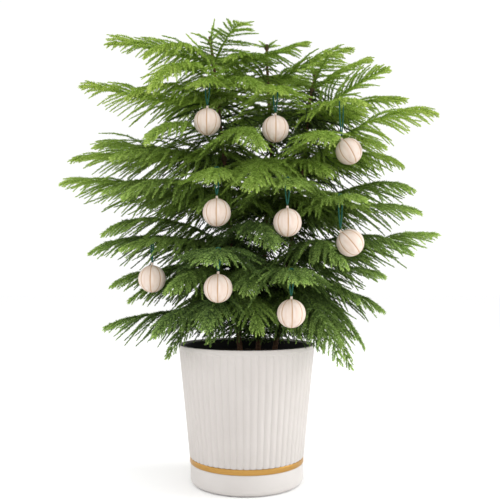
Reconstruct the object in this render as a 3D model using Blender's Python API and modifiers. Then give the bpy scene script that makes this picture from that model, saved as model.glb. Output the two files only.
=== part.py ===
"""A potted Norfolk Island pine: three young trees in one fluted pot, hung with nine wooden balls.

Metres, +Z up, with the front at -Y. The origin is the middle of the base's underside.
Each tree is a bark stem with whorls of flat fronds. A frond is an arched rachis with two rows
of branchlets, and a branchlet is one long spike, as thick as a shoot with its needles.
"""

import math
import random
from collections import namedtuple

import bmesh
import bpy
import numpy as np
from mathutils import Matrix, Vector

# Room left between pieces that touch
GAP = 0.0003

# The pot and what carries it
RIM_HEIGHT = 0.259
RIM_RADIUS = 0.1295
LIP_HEIGHT = 0.008
WALL = 0.0045
FLUTES = 58
FLUTE_DEPTH = 0.0016
FLUTE_FADE = 0.003
SHOULDER_HEIGHT = 0.0493
SHOULDER_RADIUS = 0.1078
FOOT_RADIUS = 0.1003
POT_FLOOR = 0.006
BAND_HEIGHT = 0.0100
BAND_RADIUS = 0.1074
BASE_HEIGHT = 0.0387
BASE_RADIUS = 0.1062
BASE_ROUND = 0.010
BASE_FLOOR = 0.004
ROUND_STEPS = 36
NURSERY_STEPS = 30

# The nursery pot and the soil in it
NURSERY_RIM = 0.2565
NURSERY_RADIUS = 0.1215
NURSERY_FOOT_RADIUS = 0.0900
NURSERY_LIP = 0.0030
NURSERY_WALL = 0.0020
SOIL_HEIGHT = 0.236
SOIL_MOUND = 0.005

# Stems: points from the root end up, and the radius at both ends
STEM_FOOT = 0.130
STEMS = {
    "left": [(-0.009, -0.012, STEM_FOOT), (-0.012, -0.012, 0.24), (-0.042, -0.005, 0.60),
             (-0.064, 0.000, 0.80), (-0.072, 0.000, 0.852)],
    "middle": [(0.018, 0.030, STEM_FOOT), (0.022, 0.030, 0.24), (0.049, 0.040, 0.63),
               (0.041, 0.045, 0.81), (0.040, 0.045, 0.852)],
    "right": [(0.045, -0.010, STEM_FOOT), (0.052, -0.010, 0.24), (0.111, 0.000, 0.61),
              (0.123, 0.005, 0.725), (0.134, 0.005, 0.785)],
}
STEM_RADIUS = 0.0058
STEM_TIP_RADIUS = 0.0026
STEM_SIDES_STEP = 2

# Whorls: tree, height on its stem, and its fronds. A frond is azimuth in degrees, reach,
# lift of its tip, arch of its middle, and how far its branchlets hang in degrees
WHORLS = {
    "left_whorl_1": ("left", 0.335, [(182, 0.245, -0.042, 0.006, 32), (228, 0.200, -0.045, 0.024, 30),
                                     (284, 0.165, -0.040, 0.034, 28), (120, 0.200, -0.020, 0.024, 30),
                                     (255, 0.185, -0.035, 0.034, 28), (318, 0.150, -0.050, 0.034, 30),
                                     (214, 0.145, -0.090, 0.034, 10)]),
    "left_whorl_2": ("left", 0.390, [(262, 0.225, 0.020, 0.030, 26), (60, 0.210, 0.000, 0.024, 28),
                                     (150, 0.210, -0.010, 0.024, 30), (190, 0.195, -0.045, 0.018, 34),
                                     (172, 0.240, -0.020, 0.020, 30), (240, 0.205, -0.026, 0.022, 38)]),
    "left_whorl_3": ("left", 0.437, [(194, 0.240, 0.030, 0.039, 32), (175, 0.275, -0.003, 0.026, 26),
                                     (216, 0.225, 0.000, 0.014, 24), (100, 0.250, 0.010, 0.024, 28),
                                     (290, 0.200, 0.000, 0.044, 30)]),
    "left_whorl_4": ("left", 0.525, [(175, 0.323, 0.045, 0.009, 24), (264, 0.200, 0.020, 0.035, 28),
                                     (128, 0.250, 0.020, 0.024, 28), (222, 0.230, 0.000, 0.034, 32),
                                     (203, 0.235, 0.015, 0.029, 34)]),
    "left_whorl_5": ("left", 0.612, [(232, 0.200, 0.005, 0.047, 30), (162, 0.277, 0.040, 0.004, 14),
                                     (186, 0.284, -0.006, -0.002, 14), (288, 0.210, -0.015, 0.044, 30),
                                     (88, 0.240, 0.010, 0.024, 28), (212, 0.225, -0.015, 0.012, 32)]),
    "left_whorl_6": ("left", 0.718, [(238, 0.199, -0.015, 0.059, 30), (191, 0.255, 0.023, -0.008, 12),
                                     (261, 0.150, 0.000, 0.022, 24), (112, 0.210, 0.025, 0.024, 28),
                                     (215, 0.190, -0.012, 0.030, 34), (300, 0.150, -0.005, 0.034, 28)]),
    "left_whorl_7": ("left", 0.798, [(170, 0.212, 0.051, 0.006, 8), (228, 0.168, -0.020, 0.026, 34),
                                     (300, 0.110, 0.045, 0.014, 12), (4, 0.181, 0.046, -0.010, 20),
                                     (90, 0.150, 0.030, 0.019, 24), (200, 0.050, 0.048, 0.000, 4)]),
    "left_top": ("left", 0.842, [(170, 0.032, 0.018, 0.002, 0), (290, 0.022, 0.030, 0.000, 0),
                                 (50, 0.026, 0.024, 0.002, 0)]),
    "middle_whorl_1": ("middle", 0.315, [(302, 0.190, -0.050, 0.034, 30), (22, 0.180, -0.035, 0.024, 30),
                                         (238, 0.175, -0.040, 0.034, 28), (345, 0.180, -0.040, 0.024, 34)]),
    "middle_whorl_2": ("middle", 0.375, [(282, 0.260, 0.005, 0.020, 24), (75, 0.235, 0.000, 0.024, 28),
                                         (328, 0.200, -0.030, 0.024, 32), (262, 0.215, -0.015, 0.034, 28)]),
    "middle_whorl_3": ("middle", 0.515, [(278, 0.250, 0.020, 0.025, 26), (94, 0.240, 0.015, 0.024, 28),
                                         (40, 0.220, 0.010, 0.024, 28), (236, 0.210, -0.010, 0.034, 32),
                                         (315, 0.205, 0.000, 0.030, 36)]),
    "middle_whorl_4": ("middle", 0.600, [(262, 0.260, -0.070, 0.030, 30), (66, 0.225, 0.015, 0.024, 28),
                                         (130, 0.210, 0.020, 0.024, 28), (300, 0.190, -0.035, 0.020, 30)]),
    "middle_whorl_5": ("middle", 0.690, [(272, 0.195, 0.015, 0.025, 24), (104, 0.200, 0.020, 0.024, 28),
                                         (28, 0.180, 0.025, 0.019, 28), (225, 0.150, 0.015, 0.029, 30)]),
    "middle_whorl_6": ("middle", 0.768, [(354, 0.160, 0.068, 0.006, 10), (75, 0.165, 0.030, 0.024, 24),
                                         (140, 0.150, 0.030, 0.019, 24), (240, 0.140, 0.020, 0.024, 26)]),
    "middle_top": ("middle", 0.846, [(20, 0.023, 0.006, 0.000, 0), (93, 0.022, 0.008, 0.000, 0),
                                     (166, 0.024, 0.006, 0.000, 0), (237, 0.022, 0.004, 0.000, 0),
                                     (311, 0.023, 0.006, 0.000, 0)]),
    "right_whorl_1": ("right", 0.355, [(332, 0.194, 0.034, 0.024, 30), (14, 0.205, -0.035, 0.024, 34),
                                       (298, 0.180, -0.110, 0.045, 30), (80, 0.200, -0.015, 0.024, 30),
                                       (318, 0.150, -0.125, 0.040, 10), (344, 0.150, -0.095, 0.036, 16)]),
    "right_whorl_2": ("right", 0.415, [(1, 0.282, 0.054, 0.004, 20), (45, 0.240, 0.010, 0.024, 28),
                                       (294, 0.200, -0.010, 0.040, 34), (340, 0.230, 0.015, 0.040, 34)]),
    "right_whorl_3": ("right", 0.497, [(9, 0.237, 0.062, 0.031, 30), (339, 0.232, 0.008, 0.016, 30),
                                       (299, 0.200, 0.020, 0.015, 26), (72, 0.240, 0.015, 0.024, 28)]),
    "right_whorl_4": ("right", 0.600, [(353, 0.248, 0.096, 0.032, 26), (281, 0.190, 0.005, 0.039, 30),
                                       (52, 0.235, 0.025, 0.024, 28), (16, 0.210, 0.010, 0.024, 32),
                                       (322, 0.170, 0.020, 0.024, 34)]),
    "right_whorl_5": ("right", 0.690, [(338, 0.150, 0.080, 0.006, 0), (13, 0.198, 0.050, 0.010, 22),
                                       (298, 0.165, -0.002, 0.015, 24), (99, 0.180, 0.030, 0.024, 26),
                                       (50, 0.170, 0.035, 0.019, 26)]),
    "right_whorl_6": ("right", 0.748, [(24, 0.128, 0.074, 0.006, 12), (285, 0.110, 0.040, 0.014, 22),
                                       (124, 0.120, 0.045, 0.014, 22)]),
    "right_top": ("right", 0.778, [(0, 0.020, 0.022, 0.000, 0), (120, 0.020, 0.022, 0.000, 0),
                                   (240, 0.020, 0.022, 0.000, 0)]),
}
COLLAR_WALL = 0.0022
COLLAR_HEIGHT = 0.010

# A frond's shape
RACHIS_RADIUS = 0.0038
RACHIS_TIP_RADIUS = 0.0018
RACHIS_STEPS = 8
TIP_HOOK = 0.05
BRANCHLET_SPACING = 0.0205
BRANCHLET_RADIUS = 0.0062
BRANCHLET_SPREAD = 0.25
BRANCHLET_TIP_RADIUS = 0.0004
ROOT_HANG = 1.10
TIP_HANG = 0.60
SHORT_FROND = 0.06
FULL_FROND = 0.15
FIRST_BRANCHLET = 0.12
WIDTH_SHARE = 0.42
TIP_BRANCHLET = 0.012
BRANCHLET_ANGLES = (72.0, 30.0)
CLEARANCE = 0.0008
RIM_ROOM = 0.003
MOST_RODS = 9000
SEED = 11

# Wooden balls. Nothing grows before them for FRONT_ROOM towards the front view.
BALL_RADIUS = 0.0240
BALL_GROOVE = 0.0007
BALL_MERIDIANS = 16
BALL_RINGS = 6
NUB_RADIUS = 0.0030
NUB_HEIGHT = 0.0045
STRING_RADIUS = 0.0009
SEAT_ROOM = 0.0010
FRONT_VIEW = (0.0, -1.333, 0.390)
FRONT_ROOM = 0.20
# Each ball's whorl, frond in it, place along it, string length and lean in degrees
BALLS = [
    ("left_whorl_6", 2, 0.66, 0.050, 0.0),
    ("middle_whorl_5", 0, 0.73, 0.047, 0.0),
    ("right_whorl_5", 2, 0.66, 0.070, 30.0),
    ("left_whorl_4", 1, 0.73, 0.048, 0.0),
    ("middle_whorl_3", 0, 0.80, 0.047, 0.0),
    ("right_whorl_3", 2, 0.72, 0.061, 40.0),
    ("left_whorl_3", 2, 0.76, 0.042, 0.0),
    ("left_whorl_2", 0, 0.74, 0.038, 0.0),
    ("middle_whorl_2", 0, 0.80, 0.045, 0.0),
]

Frond = namedtuple("Frond", "whorl number tree root azimuth reach lift arch hang")


def clear_scene():
    for obj in list(bpy.data.objects):
        bpy.data.objects.remove(obj, do_unlink=True)


def new_collection(name):
    made = bpy.data.collections.new(name)
    bpy.context.scene.collection.children.link(made)
    return made


def new_material(name, colour, roughness, metallic=0.0):
    made = bpy.data.materials.new(name)
    made.use_nodes = True
    shader = made.node_tree.nodes["Principled BSDF"]
    shader.inputs["Base Color"].default_value = (*colour, 1.0)
    shader.inputs["Roughness"].default_value = roughness
    shader.inputs["Metallic"].default_value = metallic
    made.diffuse_color = (*colour, 1.0)
    return made


def new_object(name, mesh, collection, material=None):
    made = bpy.data.objects.new(name, mesh)
    collection.objects.link(made)
    if material is not None:
        made.data.materials.clear()
        made.data.materials.append(material)
    return made


def helper(name, mesh, collection):
    """An object that only cuts or is joined, hidden from the result."""
    made = new_object(name, mesh, collection)
    made.hide_render = True
    made.display_type = "WIRE"
    return made


def evaluated_mesh(obj):
    bpy.context.view_layer.update()
    graph = bpy.context.evaluated_depsgraph_get()
    return bpy.data.meshes.new_from_object(obj.evaluated_get(graph))


def settle(obj):
    """Applies the object's modifiers."""
    mesh = evaluated_mesh(obj)
    obj.modifiers.clear()
    obj.data = mesh
    return obj


def boolean(obj, operation, other):
    made = obj.modifiers.new(operation.lower(), "BOOLEAN")
    made.operation = operation
    if isinstance(other, bpy.types.Collection):
        made.operand_type = "COLLECTION"
        made.collection = other
    else:
        made.object = other
    return made


def shade_round(obj, angle=40):
    obj.data.shade_smooth()
    obj.data.set_sharp_from_angle(angle=math.radians(angle))


def turned_mesh(name, profile, steps, closed=False):
    """A mesh turned about Z from (radius, height) points that run down its outer side."""
    mesh = bpy.data.meshes.new(name)
    made = bmesh.new()
    points = [made.verts.new((radius, 0, height)) for radius, height in profile]
    for first, second in zip(points, points[1:]):
        made.edges.new((first, second))
    if closed:
        made.edges.new((points[-1], points[0]))
    made.to_mesh(mesh)
    made.free()
    turner = bpy.data.objects.new(name, mesh)
    bpy.context.scene.collection.objects.link(turner)
    screw = turner.modifiers.new("turn", "SCREW")
    screw.axis = "Z"
    screw.angle = math.tau
    screw.steps = steps
    screw.render_steps = steps
    screw.use_merge_vertices = True
    screw.merge_threshold = 0.0001
    result = evaluated_mesh(turner)
    bpy.data.objects.remove(turner, do_unlink=True)
    bpy.data.meshes.remove(mesh)
    return result


def arc(centre_radius, centre_height, size, start, end, count):
    """Points of an arc in the profile's plane, angles in degrees from outward."""
    made = []
    for step in range(count + 1):
        angle = math.radians(start + (end - start) * step / count)
        made.append((centre_radius + size * math.cos(angle),
                     centre_height + size * math.sin(angle)))
    return made


def raise_flutes(mesh):
    """Draws in every second column of the wall from the shoulder up to the lip."""
    columns = 2 * FLUTES
    high = RIM_HEIGHT - LIP_HEIGHT - FLUTE_FADE / 2
    for vertex in mesh.vertices:
        x, y, z = vertex.co
        radius = math.hypot(x, y)
        column = round(math.atan2(y, x) / math.tau * columns)
        if z < high and column % 2 and radius > FOOT_RADIUS:
            vertex.co.x *= 1 - FLUTE_DEPTH / radius
            vertex.co.y *= 1 - FLUTE_DEPTH / radius


def wall_radius(height):
    """Outer radius of the pot's straight taper."""
    share = (height - SHOULDER_HEIGHT) / (RIM_HEIGHT - SHOULDER_HEIGHT)
    return SHOULDER_RADIUS + (RIM_RADIUS - SHOULDER_RADIUS) * share


def make_pot(parts, cutters):
    lip = RIM_HEIGHT - LIP_HEIGHT
    heights = [RIM_HEIGHT, lip, lip - FLUTE_FADE, SHOULDER_HEIGHT]
    profile = [(0, RIM_HEIGHT)]
    profile += [(wall_radius(height), height) for height in heights]
    profile.append((0, SHOULDER_HEIGHT))
    mesh = turned_mesh("pot", profile, 2 * FLUTES)
    raise_flutes(mesh)
    white = new_material("white glaze", (0.86, 0.83, 0.79), 0.45)
    pot = new_object("pot", mesh, parts, white)

    under = BASE_FLOOR + GAP
    foot = turned_mesh("foot", [(0, SHOULDER_HEIGHT + 0.002),
                                (FOOT_RADIUS, SHOULDER_HEIGHT + 0.002),
                                (FOOT_RADIUS, under), (0, under)], ROUND_STEPS)
    floor = under + POT_FLOOR
    knee = SHOULDER_HEIGHT + WALL
    inner_top = RIM_RADIUS - WALL
    inner_foot = FOOT_RADIUS - WALL
    bore = turned_mesh("bore", [(0, RIM_HEIGHT + 0.02), (inner_top, RIM_HEIGHT + 0.02),
                                (inner_top, RIM_HEIGHT - 0.002), (SHOULDER_RADIUS - WALL, knee),
                                (inner_foot, knee), (inner_foot, floor), (0, floor)], ROUND_STEPS)
    boolean(pot, "UNION", helper("pot_foot_tool", foot, cutters))
    boolean(pot, "DIFFERENCE", helper("pot_bore_tool", bore, cutters))
    settle(pot)
    shade_round(pot)


def make_band(parts):
    low = BASE_HEIGHT + GAP
    high = low + BAND_HEIGHT
    inner = FOOT_RADIUS + GAP
    profile = [(inner, high), (BAND_RADIUS, high), (BAND_RADIUS, low), (inner, low)]
    brass = new_material("satin brass", (0.60, 0.40, 0.16), 0.32, 1.0)
    mesh = turned_mesh("gold_band", profile, ROUND_STEPS, closed=True)
    band = new_object("gold_band", mesh, parts, brass)
    shade_round(band)


def make_base(parts):
    inner = FOOT_RADIUS + GAP
    outer = [(0, BASE_FLOOR), (inner, BASE_FLOOR), (inner, BASE_HEIGHT),
             (BASE_RADIUS, BASE_HEIGHT)]
    outer += arc(BASE_RADIUS - BASE_ROUND, BASE_ROUND, BASE_ROUND, 0, -90, 3)
    outer.append((0, 0))
    cream = new_material("base white", (0.78, 0.75, 0.72), 0.5)
    base = new_object("base", turned_mesh("base", outer, ROUND_STEPS), parts, cream)
    shade_round(base)


def make_nursery_pot(parts):
    under = BASE_FLOOR + POT_FLOOR + 2 * GAP
    lip_low = NURSERY_RIM - 0.010
    wall_top = NURSERY_RADIUS - NURSERY_LIP
    profile = [(0, under + NURSERY_WALL), (NURSERY_FOOT_RADIUS - NURSERY_WALL, under + NURSERY_WALL),
               (wall_top - NURSERY_WALL, NURSERY_RIM), (NURSERY_RADIUS, NURSERY_RIM),
               (NURSERY_RADIUS, lip_low), (wall_top - 0.001, lip_low),
               (NURSERY_FOOT_RADIUS, under), (0, under)]
    black = new_material("black plastic", (0.012, 0.012, 0.013), 0.55)
    mesh = turned_mesh("nursery_pot", profile, NURSERY_STEPS)
    pot = new_object("nursery_pot", mesh, parts, black)
    shade_round(pot)


def nursery_inside(height):
    """Radius of the nursery pot's inside at a height."""
    under = BASE_FLOOR + POT_FLOOR + 2 * GAP + NURSERY_WALL
    low = NURSERY_FOOT_RADIUS - NURSERY_WALL
    high = NURSERY_RADIUS - NURSERY_LIP - NURSERY_WALL
    return low + (high - low) * (height - under) / (NURSERY_RIM - under)


def make_soil(parts, cutters):
    under = BASE_FLOOR + POT_FLOOR + 2 * GAP + NURSERY_WALL + GAP
    edge = nursery_inside(SOIL_HEIGHT) - 2 * GAP
    foot = nursery_inside(under) - 2 * GAP
    profile = [(0, SOIL_HEIGHT + SOIL_MOUND), (edge * 0.5, SOIL_HEIGHT + SOIL_MOUND * 0.7),
               (edge * 0.85, SOIL_HEIGHT), (edge, SOIL_HEIGHT - 0.002), (foot, under), (0, under)]
    dark = new_material("potting soil", (0.030, 0.021, 0.015), 0.95)
    soil = new_object("soil", turned_mesh("soil", profile, NURSERY_STEPS), parts, dark)
    for tree in STEMS:
        tool = tube_mesh(tree + "_hole", *stem_run(tree, 2 * GAP, below=2 * GAP), STEM_SIDES_STEP)
        boolean(soil, "DIFFERENCE", helper(tree + "_hole_tool", tool, cutters))
    settle(soil)
    shade_round(soil)


def tube_mesh(name, points, radii, resolution, ring=False):
    """A capped tube through the points, or a ring of tube, as one closed mesh."""
    curve = bpy.data.curves.new(name, "CURVE")
    curve.dimensions = "3D"
    curve.bevel_depth = 1.0
    curve.bevel_resolution = resolution
    curve.use_fill_caps = True
    spline = curve.splines.new("POLY")
    spline.points.add(len(points) - 1)
    spline.use_cyclic_u = ring
    for place, point, radius in zip(spline.points, points, radii):
        place.co = (*point, 1.0)
        place.radius = radius
    drawn = bpy.data.objects.new(name, curve)
    bpy.context.scene.collection.objects.link(drawn)
    mesh = evaluated_mesh(drawn)
    bpy.data.objects.remove(drawn, do_unlink=True)
    bpy.data.curves.remove(curve)
    weld(mesh)
    return mesh


def weld(mesh):
    made = bmesh.new()
    made.from_mesh(mesh)
    bmesh.ops.remove_doubles(made, verts=made.verts, dist=0.00001)
    bmesh.ops.recalc_face_normals(made, faces=made.faces)
    made.to_mesh(mesh)
    made.free()


def stem_place(tree, height):
    """The stem's axis at a height."""
    points = [Vector(point) for point in STEMS[tree]]
    pairs = list(zip(points, points[1:]))
    for low, high in pairs:
        if height <= high.z:
            break
    share = (height - low.z) / (high.z - low.z)
    return low.lerp(high, share)


def stem_radius(tree, height):
    top = STEMS[tree][-1][2]
    share = (height - STEM_FOOT) / (top - STEM_FOOT)
    return STEM_RADIUS + (STEM_TIP_RADIUS - STEM_RADIUS) * share


def stem_run(tree, extra=0.0, below=0.0):
    """Points and radii of a stem's tube, wider by extra and longer by below at its foot."""
    points = [Vector(point) for point in STEMS[tree]]
    radii = [stem_radius(tree, point.z) + extra for point in points]
    if below:
        points[0] -= (points[1] - points[0]).normalized() * below
    return points, radii


def make_stem(tree, parts, bark):
    mesh = tube_mesh(tree + "_stem", *stem_run(tree), STEM_SIDES_STEP)
    stem = new_object(tree + "_stem", mesh, parts, bark)
    shade_round(stem, 60)


def fronds_of(name):
    tree, height, table = WHORLS[name]
    root = stem_place(tree, height)
    return [Frond(name, number, tree, root, math.radians(azimuth), *shape)
            for number, (azimuth, *shape) in enumerate(table)]


def rachis_place(frond, share):
    """A point of the frond's rachis, which arches up and hooks down towards its tip."""
    out = frond.reach * share
    hook = TIP_HOOK * frond.reach * (share ** 3 - share ** 9)
    up = frond.lift * share + frond.arch * 4 * share * (1 - share) + hook
    return frond.root + Vector((out * math.cos(frond.azimuth), out * math.sin(frond.azimuth), up))


def rachis_radius(frond, share):
    """Half thickness of the rachis, less on a short frond."""
    root = RACHIS_TIP_RADIUS + (RACHIS_RADIUS - RACHIS_TIP_RADIUS) * min(1, frond.reach / FULL_FROND)
    return root + (RACHIS_TIP_RADIUS - root) * share


def frond_length(frond):
    return math.hypot(frond.reach, frond.lift)


def rachis_ahead(frond, share):
    """The way the rachis runs at a place along it."""
    return (rachis_place(frond, share + 0.02) - rachis_place(frond, share - 0.02)).normalized()


def side_of(frond):
    """The level direction to the frond's left."""
    return Vector((-math.sin(frond.azimuth), math.cos(frond.azimuth), 0))


def frond_width(share):
    """How long the branchlets are along the frond, as a share of the longest."""
    return math.sin(math.pi * (0.15 + 0.85 * min(share, 1)) ** 0.70)


Rod = namedtuple("Rod", "start end start_radius end_radius")


def closest(rod, starts, ends):
    """For one rod and many others: distance between axes, and the place on each."""
    first = np.array(rod.end - rod.start)
    second = ends - starts
    between = np.array(rod.start) - starts
    a = max(first @ first, 1e-12)
    e = np.maximum((second * second).sum(1), 1e-12)
    b = second @ first
    c = between @ first
    f = (second * between).sum(1)
    lean = np.maximum(a * e - b * b, 1e-20)
    s = np.clip((b * f - c * e) / lean, 0, 1)
    t = (b * s + f) / e
    s = np.where(t < 0, np.clip(-c / a, 0, 1), np.where(t > 1, np.clip((b - c) / a, 0, 1), s))
    t = np.clip(t, 0, 1)
    gap = between + s[:, None] * first - t[:, None] * second
    return np.sqrt((gap * gap).sum(1)), s, t


class Space:
    """What stands in the plant so far, as tapered rods with their owners."""

    def __init__(self):
        self.rods = np.zeros((MOST_RODS, 8))
        self.owner = np.zeros(MOST_RODS, int)
        self.count = 0
        self.names = {}

    def number(self, owner):
        return self.names.setdefault(owner, len(self.names) + 1)

    def add(self, rod, owner):
        self.rods[self.count] = (*rod.start, *rod.end, rod.start_radius, rod.end_radius)
        self.owner[self.count] = self.number(owner)
        self.count += 1

    def free(self, rod, skip):
        """True if the rod misses the pot and every rod but those of the owners in skip."""
        if in_pot(rod):
            return False
        ignored = [self.number(owner) for owner in skip]
        table = self.rods[:self.count][~np.isin(self.owner[:self.count], ignored)]
        distance, s, t = closest(rod, table[:, :3], table[:, 3:6])
        own = rod.start_radius + (rod.end_radius - rod.start_radius) * s
        theirs = table[:, 6] + (table[:, 7] - table[:, 6]) * t
        return bool((distance > own + theirs + CLEARANCE).all())


def in_pot(rod):
    """True if the rod comes too near the pot, its rim or the soil."""
    for step in range(9):
        place = rod.start.lerp(rod.end, step / 8)
        room = rod.start_radius + RIM_ROOM
        if place.z < RIM_HEIGHT + room and math.hypot(place.x, place.y) < RIM_RADIUS + room:
            return True
    return False


def collar_rod(name):
    """The swelling round the stem that a whorl grows from."""
    tree, height, _ = WHORLS[name]
    low = stem_place(tree, height - COLLAR_HEIGHT / 2)
    high = stem_place(tree, height + COLLAR_HEIGHT / 2)
    radius = stem_radius(tree, height) + GAP + COLLAR_WALL
    return Rod(low, high, radius, radius)


def rachis_rods(frond):
    shares = [step / RACHIS_STEPS for step in range(RACHIS_STEPS + 1)]
    places = [rachis_place(frond, share) for share in shares]
    radii = [rachis_radius(frond, share) for share in shares]
    return [Rod(*run) for run in zip(places, places[1:], radii, radii[1:])]


def fill_stems(space):
    for tree in STEMS:
        points, radii = stem_run(tree)
        for run in zip(points, points[1:], radii, radii[1:]):
            space.add(Rod(*run), tree)
    for name in WHORLS:
        space.add(collar_rod(name), name)


def place_fronds(space):
    """All fronds, with their rachises put in the space."""
    fronds = [frond for name in WHORLS for frond in fronds_of(name)]
    for frond in fronds:
        for rod in rachis_rods(frond):
            space.add(rod, (frond.whorl, frond.number))
    return fronds


Ball = namedtuple("Ball", "name ring nub centre axis")


def hang_ball(number, fronds):
    """Where a ball, its nub and its ring of string lie, hung plumb over a rachis."""
    whorl, which, share, length, lean = BALLS[number]
    frond = next(f for f in fronds if f.whorl == whorl and f.number == which)
    seat = rachis_place(frond, share)
    side = side_of(frond)
    radius = rachis_radius(frond, share)
    reach = radius + SEAT_ROOM + STRING_RADIUS
    top = radius / rachis_ahead(frond, share).xy.length + GAP + STRING_RADIUS
    up = Vector((0, 0, 1))
    low = seat - up * length
    ring = [low, seat + side * reach * 0.8 - up * length * 0.5, seat + side * reach,
            seat + side * reach * 0.7 + up * top, seat - side * reach * 0.7 + up * top,
            seat - side * reach, seat - side * reach * 0.8 - up * length * 0.5]
    angle = math.radians(lean)
    axis = Vector((-math.sin(angle), 0, math.cos(angle)))
    centre = low - axis * (BALL_RADIUS + NUB_HEIGHT / 2)
    return Ball(f"ball_{number + 1}", ring, low, centre, axis)


def fill_ball(ball, space):
    """Takes up the ball's room, and the room in front through which it is seen."""
    space.add(Rod(ball.centre, ball.centre, BALL_RADIUS, BALL_RADIUS), ball.name)
    space.add(Rod(ball.centre, ball.nub, NUB_RADIUS, NUB_RADIUS), ball.name)
    for first, second in zip(ball.ring, ball.ring[1:] + ball.ring[:1]):
        space.add(Rod(first, second, STRING_RADIUS, STRING_RADIUS), ball.name)
    ahead = (Vector(FRONT_VIEW) - ball.centre).normalized()
    space.add(Rod(ball.centre, ball.centre + ahead * FRONT_ROOM, BALL_RADIUS, BALL_RADIUS), ball.name)


def groove_ball(made):
    """Draws in every second meridian of a sphere about Z, fading to its poles."""
    for vertex in made.verts:
        x, y, _ = vertex.co
        radius = math.hypot(x, y)
        column = round(math.atan2(y, x) / math.tau * BALL_MERIDIANS)
        if radius > 0.001 and column % 2:
            depth = BALL_GROOVE * radius / BALL_RADIUS
            vertex.co.x *= 1 - depth / radius
            vertex.co.y *= 1 - depth / radius


def ball_mesh(ball):
    """The grooved sphere, turned to the ball's axis and moved to its place."""
    mesh = bpy.data.meshes.new(ball.name)
    made = bmesh.new()
    bmesh.ops.create_uvsphere(made, u_segments=BALL_MERIDIANS, v_segments=BALL_RINGS,
                              radius=BALL_RADIUS)
    groove_ball(made)
    turn = ball.axis.to_track_quat("Z", "Y").to_matrix().to_4x4()
    bmesh.ops.transform(made, matrix=Matrix.Translation(ball.centre) @ turn, verts=made.verts)
    made.to_mesh(mesh)
    made.free()
    return mesh


def rod_mesh(name, start, end, radius, sides):
    """A capped straight rod."""
    mesh = bpy.data.meshes.new(name)
    made = bmesh.new()
    aim = end - start
    place = Matrix.Translation((start + end) / 2) @ aim.to_track_quat("Z", "Y").to_matrix().to_4x4()
    bmesh.ops.create_cone(made, cap_ends=True, segments=sides, radius1=radius, radius2=radius,
                          depth=aim.length, matrix=place)
    made.to_mesh(mesh)
    made.free()
    return mesh


def make_ball(ball, parts, wood):
    """Joins the sphere, its nub and its ring of string."""
    made = new_object(ball.name, ball_mesh(ball), parts, wood)
    pieces = new_collection(ball.name + "_pieces")
    nub_top = ball.centre + ball.axis * (BALL_RADIUS + NUB_HEIGHT)
    nub_root = ball.centre + ball.axis * (BALL_RADIUS - NUB_HEIGHT)
    helper(ball.name + "_nub", rod_mesh("nub", nub_root, nub_top, NUB_RADIUS, 6), pieces)
    radii = [STRING_RADIUS] * len(ball.ring)
    helper(ball.name + "_ring", tube_mesh("ring", ball.ring, radii, 0, ring=True), pieces)
    join(made, pieces)
    shade_round(made, 30)


def join(obj, pieces):
    """Unites the object with the collection's objects, which are then removed."""
    boolean(obj, "UNION", pieces)
    settle(obj)
    for piece in list(pieces.objects):
        bpy.data.objects.remove(piece, do_unlink=True)
    bpy.data.collections.remove(pieces)


def keep_largest(mesh):
    """Drops loose scraps, and with them the skins of hollows that the union has sealed."""
    made = bmesh.new()
    made.from_mesh(mesh)
    islands = []
    waiting = set(made.faces)
    while waiting:
        reached = {waiting.pop()}
        rim = list(reached)
        while rim:
            shared = {e for face in rim for e in face.edges if len(e.link_faces) == 2}
            rim = list({face for e in shared for face in e.link_faces} - reached)
            reached.update(rim)
        waiting -= reached
        islands.append(list(reached))
    islands.sort(key=len)
    scraps = [face for island in islands[:-1] for face in island]
    bmesh.ops.delete(made, geom=scraps, context="FACES")
    made.to_mesh(mesh)
    made.free()


def branchlet_tip(frond, share, side, length, turn, tilt):
    """The tip of a branchlet, which leaves the rachis forwards to its left or right."""
    wide, narrow = BRANCHLET_ANGLES
    angle = math.radians(wide + (narrow - wide) * share + turn)
    hang = frond.hang * (ROOT_HANG + (TIP_HANG - ROOT_HANG) * share)
    droop = math.radians(hang + tilt)
    aim = rachis_ahead(frond, share) * math.cos(angle) + side_of(frond) * side * math.sin(angle)
    aim = aim * math.cos(droop) - Vector((0, 0, 1)) * math.sin(droop)
    return rachis_place(frond, share) + aim.normalized() * length


def branchlet_rods(frond, share, tip):
    """Two rods from the branchlet's broad root to its tip."""
    spread = BRANCHLET_SPREAD / slices_of(frond)
    return [Rod(rachis_place(frond, share + step), tip, BRANCHLET_RADIUS, BRANCHLET_TIP_RADIUS)
            for step in (-spread, spread)]


def slices_of(frond):
    """How many slices, each with a pair of branchlets, the rachis has."""
    return max(2, round(frond_length(frond) / BRANCHLET_SPACING))


def grow_branchlets(frond, space, dice):
    """Tips of the branchlets by slice and side. One that would touch is bent or shortened."""
    tips = {}
    owner = (frond.whorl, frond.number)
    slices = slices_of(frond)
    if frond.reach < SHORT_FROND:
        return tips
    for number in range(slices):
        share = (number + 0.5) / slices
        if share < FIRST_BRANCHLET:
            continue
        for side in (1, -1):
            length = frond_length(frond) * WIDTH_SHARE * frond_width(share) + TIP_BRANCHLET
            length *= dice.uniform(0.94, 1.06)
            turn = dice.uniform(-2, 2)
            tip = clear_tip(frond, share, side, length, turn, space)
            if tip is not None:
                tips[number, side] = tip
                for rod in branchlet_rods(frond, share, tip):
                    space.add(rod, owner)
    return tips


def clear_tip(frond, share, side, length, turn, space):
    """The tip of a branchlet that touches nothing, or None where there is no room."""
    skip = [(frond.whorl, frond.number), frond.whorl, frond.tree]
    for size in (1.0, 0.8, 0.6, 0.45):
        for tilt in (0, 9, -9, 18, -18, 30, -30):
            tip = branchlet_tip(frond, share, side, length * size, turn, tilt)
            if all(space.free(rod, skip) for rod in branchlet_rods(frond, share, tip)):
                return tip
    return None


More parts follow.
